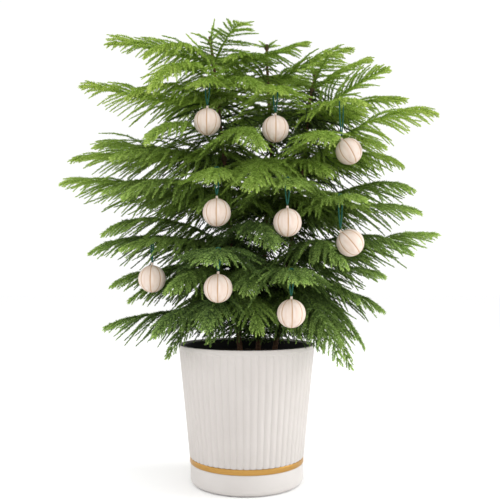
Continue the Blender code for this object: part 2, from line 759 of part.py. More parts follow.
def frond_mesh(frond, tips):
    """A three-sided bar cut in slices and bent to the rachis, with faces drawn out to tips."""
    slices = slices_of(frond)
    mesh = bpy.data.meshes.new(frond.whorl)
    made = bmesh.new()
    bmesh.ops.create_cone(made, cap_ends=True, segments=3, radius1=1, radius2=1, depth=1)
    long_edges = [e for e in made.edges if abs(e.verts[0].co.z - e.verts[1].co.z) > 0.5]
    bmesh.ops.subdivide_edges(made, edges=long_edges, cuts=slices - 1)
    faces = {}
    for face in made.faces:
        centre = face.calc_center_median()
        if len(face.verts) == 4 and abs(centre.x) > 0.1:
            faces[math.floor((centre.z + 0.5) * slices), round(centre.x * 2.4)] = face
    side = side_of(frond)
    for vertex in made.verts:
        share = vertex.co.z + 0.5
        up = rachis_ahead(frond, share).cross(side)
        offset = side * vertex.co.x + up * vertex.co.y
        vertex.co = rachis_place(frond, share) + offset * rachis_radius(frond, share)
    for key, tip in tips.items():
        poked = bmesh.ops.poke(made, faces=[faces[key]])
        poked["verts"][0].co = tip
    bmesh.ops.recalc_face_normals(made, faces=made.faces)
    made.to_mesh(mesh)
    made.free()
    return mesh


def make_whorl(name, grown, parts, cutters, green):
    """Joins the whorl's fronds to the swelling that they grow from, and clears the stem."""
    tree = WHORLS[name][0]
    low, high, radius, _ = collar_rod(name)
    whorl = new_object(name, rod_mesh(name, low, high, radius, 8), parts, green)
    pieces = new_collection(name + "_pieces")
    for frond, tips in grown:
        helper(f"{name}_{frond.number}", frond_mesh(frond, tips), pieces)
    join(whorl, pieces)
    sleeve = tube_mesh(name + "_sleeve", *stem_run(tree, 1.5 * GAP), STEM_SIDES_STEP)
    boolean(whorl, "DIFFERENCE", helper(name + "_sleeve_tool", sleeve, cutters))
    settle(whorl)
    keep_largest(whorl.data)


def main():
    clear_scene()
    parts = new_collection("potted_norfolk_island_pine")
    cutters = new_collection("cutters")
    make_base(parts)
    make_band(parts)
    make_pot(parts, cutters)
    make_nursery_pot(parts)
    make_soil(parts, cutters)
    bark = new_material("bark", (0.16, 0.065, 0.035), 0.85)
    for tree in STEMS:
        make_stem(tree, parts, bark)
    space = Space()
    fill_stems(space)
    fronds = place_fronds(space)
    wood = new_material("pale wood", (0.80, 0.68, 0.58), 0.6)
    balls = [hang_ball(number, fronds) for number in range(len(BALLS))]
    for ball in balls:
        fill_ball(ball, space)
        make_ball(ball, parts, wood)
    green = new_material("pine green", (0.085, 0.200, 0.035), 0.6)
    dice = random.Random(SEED)
    grown = {name: [] for name in WHORLS}
    for frond in fronds:
        grown[frond.whorl].append((frond, grow_branchlets(frond, space, dice)))
    for name in WHORLS:
        make_whorl(name, grown[name], parts, cutters, green)


main()
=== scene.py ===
"""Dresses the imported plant: needle-covered branchlets, bark, soil, a fluted pot and wooden balls.

Metres, +Z up, front at -Y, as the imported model. Every frond keeps the place and arch that the
solids give it, and gets its branchlets at their true spacing.
"""

import math
from collections import namedtuple

import bmesh
import bpy
import numpy as np
from mathutils import Matrix, Vector


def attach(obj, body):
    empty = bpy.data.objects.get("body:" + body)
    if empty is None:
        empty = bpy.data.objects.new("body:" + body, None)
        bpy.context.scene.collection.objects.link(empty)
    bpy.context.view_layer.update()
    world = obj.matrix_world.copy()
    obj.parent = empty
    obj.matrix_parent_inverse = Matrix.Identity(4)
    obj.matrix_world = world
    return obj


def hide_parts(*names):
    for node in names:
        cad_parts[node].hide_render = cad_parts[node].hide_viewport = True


# The stems, whorls and fronds, as in the part
STEM_FOOT = 0.130
STEMS = {
    "left": [(-0.009, -0.012, STEM_FOOT), (-0.012, -0.012, 0.24), (-0.042, -0.005, 0.60),
             (-0.064, 0.000, 0.80), (-0.072, 0.000, 0.852)],
    "middle": [(0.018, 0.030, STEM_FOOT), (0.022, 0.030, 0.24), (0.049, 0.040, 0.63),
               (0.041, 0.045, 0.81), (0.040, 0.045, 0.852)],
    "right": [(0.045, -0.010, STEM_FOOT), (0.052, -0.010, 0.24), (0.111, 0.000, 0.61),
              (0.123, 0.005, 0.725), (0.134, 0.005, 0.785)],
}
STEM_RADIUS = 0.0058
STEM_TIP_RADIUS = 0.0026

# Whorls: tree, height on its stem, and its fronds. A frond is azimuth in degrees, reach,
# lift of its tip, arch of its middle, and how far its branchlets hang in degrees
WHORLS = {
    "left_whorl_1": ("left", 0.335, [
        (182, 0.245, -0.042, 0.006, 32), (228, 0.200, -0.045, 0.024, 30), (284, 0.165, -0.040, 0.034, 28),
        (120, 0.200, -0.020, 0.024, 30), (255, 0.185, -0.035, 0.034, 28), (318, 0.150, -0.050, 0.034, 30),
        (214, 0.145, -0.090, 0.034, 10)]),
    "left_whorl_2": ("left", 0.390, [
        (262, 0.225, 0.020, 0.030, 26), (60, 0.210, 0.000, 0.024, 28), (150, 0.210, -0.010, 0.024, 30),
        (190, 0.195, -0.045, 0.018, 34), (172, 0.240, -0.020, 0.020, 30), (240, 0.205, -0.026, 0.022, 38)]),
    "left_whorl_3": ("left", 0.437, [
        (194, 0.240, 0.030, 0.039, 32), (175, 0.275, -0.003, 0.026, 26), (216, 0.225, 0.000, 0.014, 24),
        (100, 0.250, 0.010, 0.024, 28), (290, 0.200, 0.000, 0.044, 30)]),
    "left_whorl_4": ("left", 0.525, [
        (175, 0.323, 0.045, 0.009, 24), (264, 0.200, 0.020, 0.035, 28), (128, 0.250, 0.020, 0.024, 28),
        (222, 0.230, 0.000, 0.034, 32), (203, 0.235, 0.015, 0.029, 34)]),
    "left_whorl_5": ("left", 0.612, [
        (232, 0.200, 0.005, 0.047, 30), (162, 0.277, 0.040, 0.004, 14), (186, 0.284, -0.006, -0.002, 14),
        (288, 0.210, -0.015, 0.044, 30), (88, 0.240, 0.010, 0.024, 28), (212, 0.225, -0.015, 0.012, 32)]),
    "left_whorl_6": ("left", 0.718, [
        (238, 0.199, -0.015, 0.059, 30), (191, 0.255, 0.023, -0.008, 12), (261, 0.150, 0.000, 0.022, 24),
        (112, 0.210, 0.025, 0.024, 28), (215, 0.190, -0.012, 0.030, 34), (300, 0.150, -0.005, 0.034, 28)]),
    "left_whorl_7": ("left", 0.798, [
        (170, 0.212, 0.051, 0.006, 8), (228, 0.168, -0.020, 0.026, 34), (300, 0.110, 0.045, 0.014, 12),
        (4, 0.181, 0.046, -0.010, 20), (90, 0.150, 0.030, 0.019, 24), (200, 0.050, 0.048, 0.000, 4)]),
    "left_top": ("left", 0.842, [
        (170, 0.032, 0.018, 0.002, 0), (290, 0.022, 0.030, 0.000, 0), (50, 0.026, 0.024, 0.002, 0)]),
    "middle_whorl_1": ("middle", 0.315, [
        (302, 0.190, -0.050, 0.034, 30), (22, 0.180, -0.035, 0.024, 30), (238, 0.175, -0.040, 0.034, 28),
        (345, 0.180, -0.040, 0.024, 34)]),
    "middle_whorl_2": ("middle", 0.375, [
        (282, 0.260, 0.005, 0.020, 24), (75, 0.235, 0.000, 0.024, 28), (328, 0.200, -0.030, 0.024, 32),
        (262, 0.215, -0.015, 0.034, 28)]),
    "middle_whorl_3": ("middle", 0.515, [
        (278, 0.250, 0.020, 0.025, 26), (94, 0.240, 0.015, 0.024, 28), (40, 0.220, 0.010, 0.024, 28),
        (236, 0.210, -0.010, 0.034, 32), (315, 0.205, 0.000, 0.030, 36)]),
    "middle_whorl_4": ("middle", 0.600, [
        (262, 0.260, -0.070, 0.030, 30), (66, 0.225, 0.015, 0.024, 28), (130, 0.210, 0.020, 0.024, 28),
        (300, 0.190, -0.035, 0.020, 30)]),
    "middle_whorl_5": ("middle", 0.690, [
        (272, 0.195, 0.015, 0.025, 24), (104, 0.200, 0.020, 0.024, 28), (28, 0.180, 0.025, 0.019, 28),
        (225, 0.150, 0.015, 0.029, 30)]),
    "middle_whorl_6": ("middle", 0.768, [
        (354, 0.160, 0.068, 0.006, 10), (75, 0.165, 0.030, 0.024, 24), (140, 0.150, 0.030, 0.019, 24),
        (240, 0.140, 0.020, 0.024, 26)]),
    "middle_top": ("middle", 0.846, [
        (20, 0.023, 0.006, 0.000, 0), (93, 0.022, 0.008, 0.000, 0), (166, 0.024, 0.006, 0.000, 0),
        (237, 0.022, 0.004, 0.000, 0), (311, 0.023, 0.006, 0.000, 0)]),
    "right_whorl_1": ("right", 0.355, [
        (332, 0.194, 0.034, 0.024, 30), (14, 0.205, -0.035, 0.024, 34), (298, 0.180, -0.110, 0.045, 30),
        (80, 0.200, -0.015, 0.024, 30), (318, 0.150, -0.125, 0.040, 10), (344, 0.150, -0.095, 0.036, 16)]),
    "right_whorl_2": ("right", 0.415, [
        (1, 0.282, 0.054, 0.004, 20), (45, 0.240, 0.010, 0.024, 28), (294, 0.200, -0.010, 0.040, 34),
        (340, 0.230, 0.015, 0.040, 34)]),
    "right_whorl_3": ("right", 0.497, [
        (9, 0.237, 0.062, 0.031, 30), (339, 0.232, 0.008, 0.016, 30), (299, 0.200, 0.020, 0.015, 26),
        (72, 0.240, 0.015, 0.024, 28)]),
    "right_whorl_4": ("right", 0.600, [
        (353, 0.248, 0.096, 0.032, 26), (281, 0.190, 0.005, 0.039, 30), (52, 0.235, 0.025, 0.024, 28),
        (16, 0.210, 0.010, 0.024, 32), (322, 0.170, 0.020, 0.024, 34)]),
    "right_whorl_5": ("right", 0.690, [
        (338, 0.150, 0.080, 0.006, 0), (13, 0.198, 0.050, 0.010, 22), (298, 0.165, -0.002, 0.015, 24),
        (99, 0.180, 0.030, 0.024, 26), (50, 0.170, 0.035, 0.019, 26)]),
    "right_whorl_6": ("right", 0.748, [
        (24, 0.128, 0.074, 0.006, 12), (285, 0.110, 0.040, 0.014, 22), (124, 0.120, 0.045, 0.014, 22)]),
    "right_top": ("right", 0.778, [
        (0, 0.020, 0.022, 0.000, 0), (120, 0.020, 0.022, 0.000, 0), (240, 0.020, 0.022, 0.000, 0)]),
}

# How a frond arches and narrows, as in the part
TIP_HOOK = 0.05
AHEAD_STEP = 0.02
RACHIS_RADIUS = 0.0038
RACHIS_TIP_RADIUS = 0.0018
FULL_FROND = 0.15
WIDTH_SHARE = 0.42
WIDTH_START = 0.15
WIDTH_SKEW = 0.70
TIP_BRANCHLET = 0.012
BRANCHLET_ANGLES = (72.0, 30.0)
ROOT_HANG = 1.10
TIP_HANG = 0.60

# The pot, its band and its base, as in the part but with deeper flutes and finer edges. The
# floors are heights above the ground
RIM_HEIGHT = 0.259
RIM_RADIUS = 0.1295
LIP_HEIGHT = 0.008
LIP_ROUND = 0.0014
WALL = 0.0045
FLUTES = 58
FLUTE_DEPTH = 0.0020
FLUTE_COLUMNS = 10
FLUTE_FADE = 0.003
SCALLOP = 0.8
SHOULDER_HEIGHT = 0.0493
SHOULDER_RADIUS = 0.1078
SHOULDER_ROUND = 0.0005
FOOT_RADIUS = 0.1003
KNEE_LOW = 0.0535
KNEE_HIGH = 0.0540
POT_FLOOR = 0.0103
BAND_LOW = 0.0390
BAND_HIGH = 0.0490
BAND_RADIUS = 0.1074
BASE_HEIGHT = 0.0387
BASE_RADIUS = 0.1062
BASE_ROUND = 0.010
BASE_FLOOR = 0.0043
EDGE = 0.0008
SMOOTH_COLUMNS = 180
GAP = 0.0003
# Rings of the pot's wall: how far below the lip's lower edge, and heights above the ground
LIP_DROPS = (-0.0008, 0.0, 0.0005, 0.0011, 0.002, FLUTE_FADE)
WALL_RINGS = (0.18, 0.11, SHOULDER_HEIGHT + 0.0008)

# The nursery pot with its rolled rim, and the soil
LINER_UNDER = 0.0108
LINER_FLOOR = 0.0128
LINER_INSIDE = 0.088
LINER_OUTSIDE = 0.0898
LINER_NECK = 0.1165
LINER_NECK_DROP = 0.004
LINER_RIM = 0.2565
LINER_ROLL = 0.0022
LINER_ROLL_RADIUS = 0.1190
LINER_SKIRT = 0.010
LINER_SKIRT_INSIDE = 0.1192
LINER_COLUMNS = 96
SOIL_FLOOR = 0.0131
SOIL_FOOT_RADIUS = 0.0875
SOIL_RADIUS = 0.1145
SOIL_HEIGHT = 0.236
SOIL_EDGE = 0.003
SOIL_RINGS = 34
SOIL_COLUMNS = 120
SOIL_SWELL = 0.005
SOIL_LUMPS = 0.0012
SOIL_GRAINS = 0.0006
SOIL_CRUMBS = 700
CRUMB_REACH = 0.97
CRUMB_SIZES = (0.0012, 0.0042)
CRUMB_WIDTHS = (0.5, 1)
CRUMB_HEIGHTS = (0.35, 0.7)
CRUMB_BUMPS = (0.75, 1.2)
CRUMB_RISE = 0.4

# Bark, drawn as a tube of many short rings
BARK_STEP = 0.0022
BARK_WAVES = 900
BARK_ROUGHNESS = 0.05
BARK_ROUNDNESS = 5

# Wooden balls, hung as in the part, with finer grooves. A ball is its frond's whorl and number,
# how far out on the frond it hangs, its string's length, and its lean in degrees
BALL_RADIUS = 0.0240
BALL_GROOVES = 8
GROOVE_TURN = math.radians(90)
GROOVE_WIDTH = 0.0011
GROOVE_DEPTH = 0.0007
GROOVE_COLUMNS = 12
GROOVE_FADE = 0.25
GROOVE_STAIN = 1.6
POLE = 0.995
POLE_RADIUS = 0.0005
BALL_RINGS = 30
BALL_TOP_ANGLE = 82
NUB_RADIUS = 0.0030
NUB_HEIGHT = 0.0045
NECK_SHARE = 0.7
STRING_RADIUS = 0.0009
STRING_THICKNESS = 0.0012
STRING_ROUNDNESS = 2
STRING_WAIST = 0.8
STRING_TOP = 0.7
CORNER_CUT = 0.25
CORNER_STEPS = (0.15, 0.3)
SEAT_ROOM = 0.0010
BALLS = [
    ("left_whorl_6", 2, 0.66, 0.050, 0.0),
    ("middle_whorl_5", 0, 0.73, 0.047, 0.0),
    ("right_whorl_5", 2, 0.66, 0.070, 30.0),
    ("left_whorl_4", 1, 0.73, 0.048, 0.0),
    ("middle_whorl_3", 0, 0.80, 0.047, 0.0),
    ("right_whorl_3", 2, 0.72, 0.061, 40.0),
    ("left_whorl_3", 2, 0.76, 0.042, 0.0),
    ("left_whorl_2", 0, 0.74, 0.038, 0.0),
    ("middle_whorl_2", 0, 0.80, 0.045, 0.0),
]

# Room that the foliage leaves round the balls, in front of them and round the pot's rim
BALL_ROOM = 0.004
FRONT_ROOM = 0.20
RIM_ROOM_ABOVE = 0.006
RIM_ROOM_ROUND = 0.005
CUT_TRIES = 17

# Branchlets: shares are of the way along the rachis or branchlet, and angles in degrees
PATH_STEPS = 4
LEAST_BRANCHLETS = 3
BRANCHLET_STEP = 0.0072
FIRST_BRANCHLET = 0.07
LAST_BRANCHLET = 0.985
PLACE_JITTER = 0.25
PLACE_RANGE = (0.03, 0.99)
LENGTH_RANGE = (0.82, 1.10)
ANGLE_SPREAD = 3.5
HANG_SPREAD = 6.0
BRANCHLET_BOW = 0.17
BOW_RANGE = (0.6, 1.5)
BRANCHLET_SWEEP = 0.13
BRANCHLET_CORE = (0.0010, 0.0005)
LEAST_CUT = 0.2

# The rachis of a frond. A short frond is a bare shoot
SHORT_FROND = 0.06
RACHIS_START = 0.04
RACHIS_CORE = (0.0024, 0.0008)
SHORT_CORE = (0.0014, 0.0008)
RACHIS_TONES = (0.12, 0.78)

# Shaded shoots round the stems
INNER_SHOOTS = 60
INNER_FALL = 0.09
INNER_STEEPNESS = (0.1, 0.9)
INNER_LENGTH = (0.055, 0.130)
INNER_BOW = 0.22
INNER_LEAST_CUT = 0.3
INNER_CORE = (0.0011, 0.0005)
INNER_TOP = 0.76
INNER_TONES = (0.10, 0.24)
INNER_TONE_SPREAD = 0.06

# Needles, which lean forward and shorten towards the tip of what they grow on
NEEDLE_LENGTH = 0.0062
RACHIS_NEEDLE_LENGTH = NEEDLE_LENGTH * 1.1
NEEDLE_RANGE = (0.8, 1.15)
NEEDLE_WIDTH = 0.0020
NEEDLE_STEP = 0.00060
RACHIS_NEEDLE_STEP = 0.0005
INNER_NEEDLE_STEP = 0.00115
NEEDLE_LEAN = 45.0
LEAN_SPREAD = 7
TIP_LEAN = 26
TIP_SHORTENING = 0.40
TIP_CURVE = 4
LEAST_NEEDLES = 4
LAST_NEEDLE = 0.999
NEEDLE_JITTER = (0.1, 0.9)
TURN_JITTER = 0.4
GOLDEN_TURN = math.pi * (3 - math.sqrt(5))
CORE_SIDES = 3
ACROSS_FROM = (0.13, 0.21, 0.97)

# The collar from which a whorl's fronds grow
COLLAR_EXTRA = 0.0024
COLLAR_HALF = 0.005
COLLAR_ROUND = 0.0075
COLLAR_RINGS = 5
COLLAR_SIDES = 12
COLLAR_MAP = [[0.005, 0.2], [0.02, 0.2], [0.012, 0.3]]

# The tone map holds tone across and age upwards, from 0 to 1. A leaf tone is its base, what
# its place on the frond adds, what painted light adds (lighter towards the crown's edge,
# painted shade in its middle), and its spread
TONE_MAP = "OFBake"
MAP_SPREAD = 0.01
ROOT_TONE = (0.12, 0.16, 0.22, 0.03)
TIP_TONE = (0.22, 0.24, 0.32, 0.06)
OUTWARD_CURVE = 1.5
TONE_CURVE = 1.3
NEEDLE_TONE_SPREAD = 0.035
NEEDLE_AGE_SPREAD = 0.05
NEEDLE_ROOT_SHADE = 0.10
NEEDLE_TIP_SHINE = 0.08
NEEDLE_TONES = (0.03, 0.97)
NEEDLE_TIP_TONES = (0.06, 0.99)
CORE_TONE = 0.5
CORE_GAIN = 0.6
CORE_TONES = (0.02, 0.9)
CORE_AGES = (0.02, 0.98)
OLD_HEIGHT = 0.30
YOUNG_HEIGHT = 0.75
OLD_AGE = 0.15
FROND_AGE_SPREAD = 0.12
FROND_AGES = (0.05, 0.95)
# The crown that the painted light follows: foliage lighter towards its edge, painted shade in its middle
CROWN_RADIUS = 0.30
CROWN_SHOULDER = 0.58
CROWN_TAPER = 0.75
CROWN_CURVE = 1.6

# Greens from dark core to bright tip, of old fronds low down and of young ones high up. Besides the
# needles' own dark and lime greens, the dark end is partly painted shade deep in the foliage and the
# bright end partly painted light on sunlit tips; the young greens' lighter dark end is painted light
# that the thin upper sprays let through
OLD_GREENS = [(0.00, (0.070, 0.036, 0.018)), (0.05, (0.012, 0.022, 0.007)),
              (0.30, (0.064, 0.120, 0.028)), (0.60, (0.350, 0.520, 0.130)),
              (1.00, (0.680, 0.840, 0.250))]
YOUNG_GREENS = [(0.00, (0.090, 0.045, 0.022)), (0.05, (0.120, 0.200, 0.018)),
                (0.30, (0.275, 0.425, 0.052)), (0.60, (0.405, 0.525, 0.100)),
                (1.00, (0.570, 0.660, 0.180))]

# Camera and floor, and lights as name, place, aim, size and power
CAMERA_PLACE = (0.0, -1.333, 0.390)
CAMERA_TILT = 2.05
CAMERA_SHIFT = 0.0066
CAMERA_LENS = 50
CAMERA_SENSOR = 36
FLOOR_REACH = 12
FLOOR_DROP = 0.0005
FLOOR_COLOUR = (0.97, 0.97, 0.97, 1)
WORLD_LIGHT = 1.03
LIGHTS = [
    ("key", (2.4, -0.2, 1.0), (0.0, 0.0, 0.45), 1.2, 34),
    ("left", (-2.4, 0.3, 0.9), (0.0, 0.0, 0.40), 1.2, 12),
    ("front", (-0.1, -2.4, 1.4), (0.0, 0.0, 0.70), 1.2, 11),
    ("top", (-0.2, -0.5, 2.8), (0.0, 0.0, 0.70), 1.4, 12),
]

SEED = 5
UP = np.array([0, 0, 1.0])
# Sockets of a mix of two colours
MIX_FIRST = 6
MIX_SECOND = 7
MIX_RESULT = 2

Frond = namedtuple("Frond", "whorl number root azimuth reach lift arch hang")


def frond_list():
    """All fronds, in the order of the table."""
    made = []
    for name, (tree, height, table) in WHORLS.items():
        root = stem_place(tree, height)
        for number, (azimuth, *shape) in enumerate(table):
            made.append(Frond(name, number, root, math.radians(azimuth), *shape))
    return made


def stem_place(tree, height):
    """The point of the stem's middle line at a height."""
    points = [np.array(point) for point in STEMS[tree]]
    for low, high in zip(points, points[1:]):
        if height <= high[2]:
            break
    return low + (high - low) * (height - low[2]) / (high[2] - low[2])


def stem_radius(tree, height):
    top = STEMS[tree][-1][2]
    return STEM_RADIUS + (STEM_TIP_RADIUS - STEM_RADIUS) * (height - STEM_FOOT) / (top - STEM_FOOT)


def rachis_place(frond, share):
    """Points of the frond's rachis at the shares along it."""
    share = np.atleast_1d(share)
    hook = TIP_HOOK * frond.reach * (share ** 3 - share ** 9)
    up = frond.lift * share + frond.arch * 4 * share * (1 - share) + hook
    out = frond.reach * share
    return frond.root + np.stack([out * math.cos(frond.azimuth), out * math.sin(frond.azimuth), up], 1)


def unit(vectors):
    return vectors / np.linalg.norm(vectors, axis=-1, keepdims=True)


def skin(index):
    """Four-cornered faces between rings of numbered points. The last axis goes round a ring."""
    low, high = index[..., :-1, :], index[..., 1:, :]
    nexts = np.roll(np.arange(index.shape[-1]), -1)
    return np.stack([low, low[..., nexts], high[..., nexts], high], -1).reshape(-1, 4)


def triangles(quads):
    return np.concatenate([quads[:, [0, 1, 2]], quads[:, [0, 2, 3]]])


def mesh_from(name, points, faces, uvs=None, smooth=True):
    """A mesh from arrays of points and of faces with the same number of corners each."""
    faces = np.asarray(faces, np.int32)
    sides = faces.shape[1]
    made = bpy.data.meshes.new(name)
    made.vertices.add(len(points))
    made.vertices.foreach_set("co", np.asarray(points, np.float32).ravel())
    made.loops.add(faces.size)
    made.loops.foreach_set("vertex_index", faces.ravel())
    made.polygons.add(len(faces))
    made.polygons.foreach_set("loop_start", np.arange(0, faces.size, sides, dtype=np.int32))
    made.polygons.foreach_set("use_smooth", np.full(len(faces), smooth))
    made.update(calc_edges=True)
    if uvs is not None:
        layer = made.uv_layers.new(name=TONE_MAP)
        layer.data.foreach_set("uv", np.asarray(uvs, np.float32).ravel())
    return made


def point_places(mesh):
    """The places of a mesh's points, one row each."""
    places = np.zeros(len(mesh.vertices) * 3)
    mesh.vertices.foreach_get("co", places)
    return places.reshape(-1, 3)


def show(name, data):
    """A new object of the scene with that name and data."""
    made = bpy.data.objects.new(name, data)
    bpy.context.scene.collection.objects.link(made)
    return made


def add_piece(mesh, material, slot, *nodes, place=None):
    """Shows a mesh as a piece of the plant, in place of CAD nodes where any are named."""
    piece = show(mesh.name, mesh)
    mesh.materials.append(material)
    if place is not None:
        piece.matrix_world = place
    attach(piece, "root")
    if nodes:
        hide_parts(*nodes)


# Materials


class Shader:
    """A material being made, with short calls for its nodes."""

    def __init__(self, name, roughness, metallic=0.0, specular=0.5):
        self.material = bpy.data.materials.new(name)
        self.material.use_nodes = True
        self.tree = self.material.node_tree
        self.surface = self.tree.nodes["Principled BSDF"]
        self.set("Roughness", roughness)
        self.set("Metallic", metallic)
        self.set("Specular IOR Level", specular)

    def feed(self, socket, value):
        """Links a socket to the value if that is another socket, or sets it."""
        if isinstance(value, bpy.types.NodeSocket):
            self.tree.links.new(value, socket)
        else:
            socket.default_value = value

    def set(self, name, value):
        self.feed(self.surface.inputs[name], value)

    def node(self, kind, links=(), **settings):
        made = self.tree.nodes.new("ShaderNode" + kind)
        for key, value in settings.items():
            setattr(made, key, value)
        for socket, value in dict(links).items():
            self.feed(made.inputs[socket], value)
        return made

    def ramp(self, factor, stops):
        made = self.node("ValToRGB", {"Fac": factor})
        band = made.color_ramp
        while len(band.elements) < len(stops):
            band.elements.new(0.5)
        for element, (place, colour) in zip(band.elements, stops):
            element.position = place
            element.color = (*colour, 1.0)
        return made.outputs["Color"]

    def noise(self, scale, detail=3.0, stretch=(1, 1, 1)):
        source = self.node("TexCoord").outputs["Object"]
        placed = self.node("Mapping", {"Vector": source, "Scale": stretch})
        made = self.node("TexNoise", {"Vector": placed.outputs["Vector"], "Scale": scale,
                                      "Detail": detail})
        return made.outputs["Fac"]

    def mix(self, factor, first, second):
        made = self.node("Mix", {"Factor": factor, MIX_FIRST: first, MIX_SECOND: second},
                         data_type="RGBA")
        return made.outputs[MIX_RESULT]

    def scaled(self, value, low, high):
        made = self.node("MapRange", {"Value": value, "To Min": low, "To Max": high})
        return made.outputs["Result"]

    def paint(self, colour):
        self.set("Base Color", colour)

    def bump(self, height, distance, strength=1.0):
        made = self.node("Bump", {"Height": height, "Distance": distance, "Strength": strength})
        self.set("Normal", made.outputs["Normal"])

    def grain(self, scale, roughness, distance, strength, stretch=(1, 1, 1)):
        """A fine noise that the surface's roughness and bumps follow."""
        noise = self.noise(scale, stretch=stretch)
        self.set("Roughness", self.scaled(noise, *roughness))
        self.bump(noise, distance, strength)
        return noise


def foliage_material():
    """Green by tone (dark core to lime tip, partly painted shade and painted light) and by age, both kept
    in the tone map.
    """
    made = Shader("needles", 0.62, specular=0.25)
    place = made.node("UVMap", uv_map=TONE_MAP)
    parts = made.node("SeparateXYZ", {"Vector": place.outputs["UV"]})
    young = made.ramp(parts.outputs["X"], YOUNG_GREENS)
    old = made.ramp(parts.outputs["X"], OLD_GREENS)
    made.paint(made.mix(parts.outputs["Y"], old, young))
    return made.material


def bark_material():
    """Reddish brown with rings and paler flakes."""
    made = Shader("bark", 0.88, specular=0.2)
    rings = made.noise(260.0, 4.0, stretch=(1, 1, 2.6))
    flakes = made.noise(700.0, 2.0)
    colour = made.ramp(rings, [(0.30, (0.050, 0.022, 0.012)), (0.52, (0.135, 0.060, 0.032)),
                               (0.72, (0.215, 0.125, 0.070))])
    made.paint(made.mix(made.scaled(flakes, 0.0, 0.45), colour, (0.10, 0.085, 0.055, 1)))
    made.bump(rings, 0.0012, 0.8)
    return made.material


def pot_material():
    """Matt white with faint clouds and a fine grain."""
    made = Shader("matt white pot", 0.62, specular=0.35)
    cloud = made.noise(9.0, 4.0)
    grain = made.grain(420.0, (0.54, 0.70), 0.00012, 0.35)
    colour = made.ramp(cloud, [(0.25, (0.515, 0.480, 0.457)), (0.75, (0.560, 0.527, 0.504))])
    made.paint(made.mix(made.scaled(grain, 0.0, 0.10), colour, (0.52, 0.48, 0.44, 1)))
    return made.material


def base_material():
    """The pot's white, a little lighter and smoother."""
    made = Shader("matt white base", 0.55, specular=0.4)
    cloud = made.noise(12.0, 4.0)
    made.paint(made.ramp(cloud, [(0.25, (0.530, 0.500, 0.478)), (0.75, (0.575, 0.548, 0.528))]))
    made.grain(520.0, (0.48, 0.62), 0.0001, 0.3)
    return made.material


def gold_material():
    """Satin gold, brushed along the band."""
    made = Shader("satin gold", 0.36, metallic=1.0)
    brushed = made.grain(90.0, (0.30, 0.46), 0.00008, 0.4, stretch=(1, 1, 26))
    made.paint(made.ramp(brushed, [(0.30, (0.42, 0.230, 0.060)), (0.70, (0.52, 0.300, 0.090))]))
    return made.material


def liner_material():
    """Matt black with a fine grain."""
    made = Shader("black plastic", 0.7, specular=0.15)
    grain = made.grain(600.0, (0.62, 0.80), 0.0001, 0.4)
    made.paint(made.ramp(grain, [(0.3, (0.010, 0.010, 0.010)), (0.8, (0.022, 0.021, 0.020))]))
    return made.material


def soil_material():
    """Dark crumbs with paler ones among them, and fibres."""
    made = Shader("potting soil", 0.95, specular=0.15)
    crumbs = made.noise(300.0, 5.0)
    fibres = made.noise(900.0, 2.0)
    colour = made.ramp(crumbs, [(0.25, (0.012, 0.008, 0.005)), (0.55, (0.040, 0.026, 0.016)),
                                (0.80, (0.095, 0.062, 0.038))])
    made.paint(made.mix(made.scaled(fibres, 0.0, 0.35), colour, (0.016, 0.011, 0.008, 1)))
    made.bump(crumbs, 0.002, 0.9)
    return made.material


def wood_material():
    """Pale wood with fine grain, and tan in the grooves."""
    made = Shader("pale wood", 0.62, specular=0.3)
    grain = made.noise(160.0, 4.0, stretch=(1, 1, 0.12))
    specks = made.noise(900.0, 2.0)
    pale = made.ramp(grain, [(0.28, (0.630, 0.490, 0.400)), (0.50, (0.680, 0.565, 0.495)),
                             (0.72, (0.715, 0.630, 0.575))])
    pale = made.mix(made.scaled(specks, 0.0, 0.12), pale, (0.70, 0.52, 0.38, 1))
    groove = made.node("Attribute", attribute_name="groove").outputs["Fac"]
    made.paint(made.mix(groove, pale, (0.42, 0.215, 0.080, 1)))
    made.bump(grain, 0.00025, 0.35)
    return made.material


def string_material():
    """Dark teal with the slanting strands of a twisted string."""
    made = Shader("teal string", 0.85, specular=0.2)
    ply = made.node("TexWave", {"Vector": made.node("TexCoord").outputs["Object"], "Scale": 420.0,
                                "Distortion": 2.0}, bands_direction="DIAGONAL")
    made.paint(made.ramp(ply.outputs["Fac"], [(0.2, (0.008, 0.055, 0.040)),
                                              (0.8, (0.025, 0.135, 0.095))]))
    made.bump(ply.outputs["Fac"], 0.0002, 0.6)
    return made.material


# Foliage


def frond_length(frond):
    return math.hypot(frond.reach, frond.lift)


def side_of(frond):
    return np.array([-math.sin(frond.azimuth), math.cos(frond.azimuth), 0.0])


def rachis_ahead(frond, share):
    return unit(rachis_place(frond, share + AHEAD_STEP) - rachis_place(frond, share - AHEAD_STEP))


def frond_width(share):
    """The width of a frond's outline at shares along it, widest near its middle."""
    return np.sin(math.pi * (WIDTH_START + (1 - WIDTH_START) * np.minimum(share, 1)) ** WIDTH_SKEW)


def on_curves(start, middle, end, t):
    """Points at the shares t of the curves that three rows of points steer."""
    start, middle, end = start[:, None], middle[:, None], end[:, None]
    return start * (1 - t) ** 2 + middle * 2 * t * (1 - t) + end * t ** 2


def bent(start, middle, end, cut):
    """Paths of PATH_STEPS pieces on the curves, up to each one's cut."""
    t = np.linspace(0, 1, PATH_STEPS + 1)[None, :, None] * cut[:, None, None]
    return on_curves(start, middle, end, t)


def from_sight(place, ball):
    """How far places lie from the line that shows the ball to the camera."""
    ahead = unit(np.array(CAMERA_PLACE) - ball.centre)
    along = np.clip((place - ball.centre) @ ahead, 0, FRONT_ROOM)
    return np.linalg.norm(place - ball.centre - along[..., None] * ahead, axis=-1)


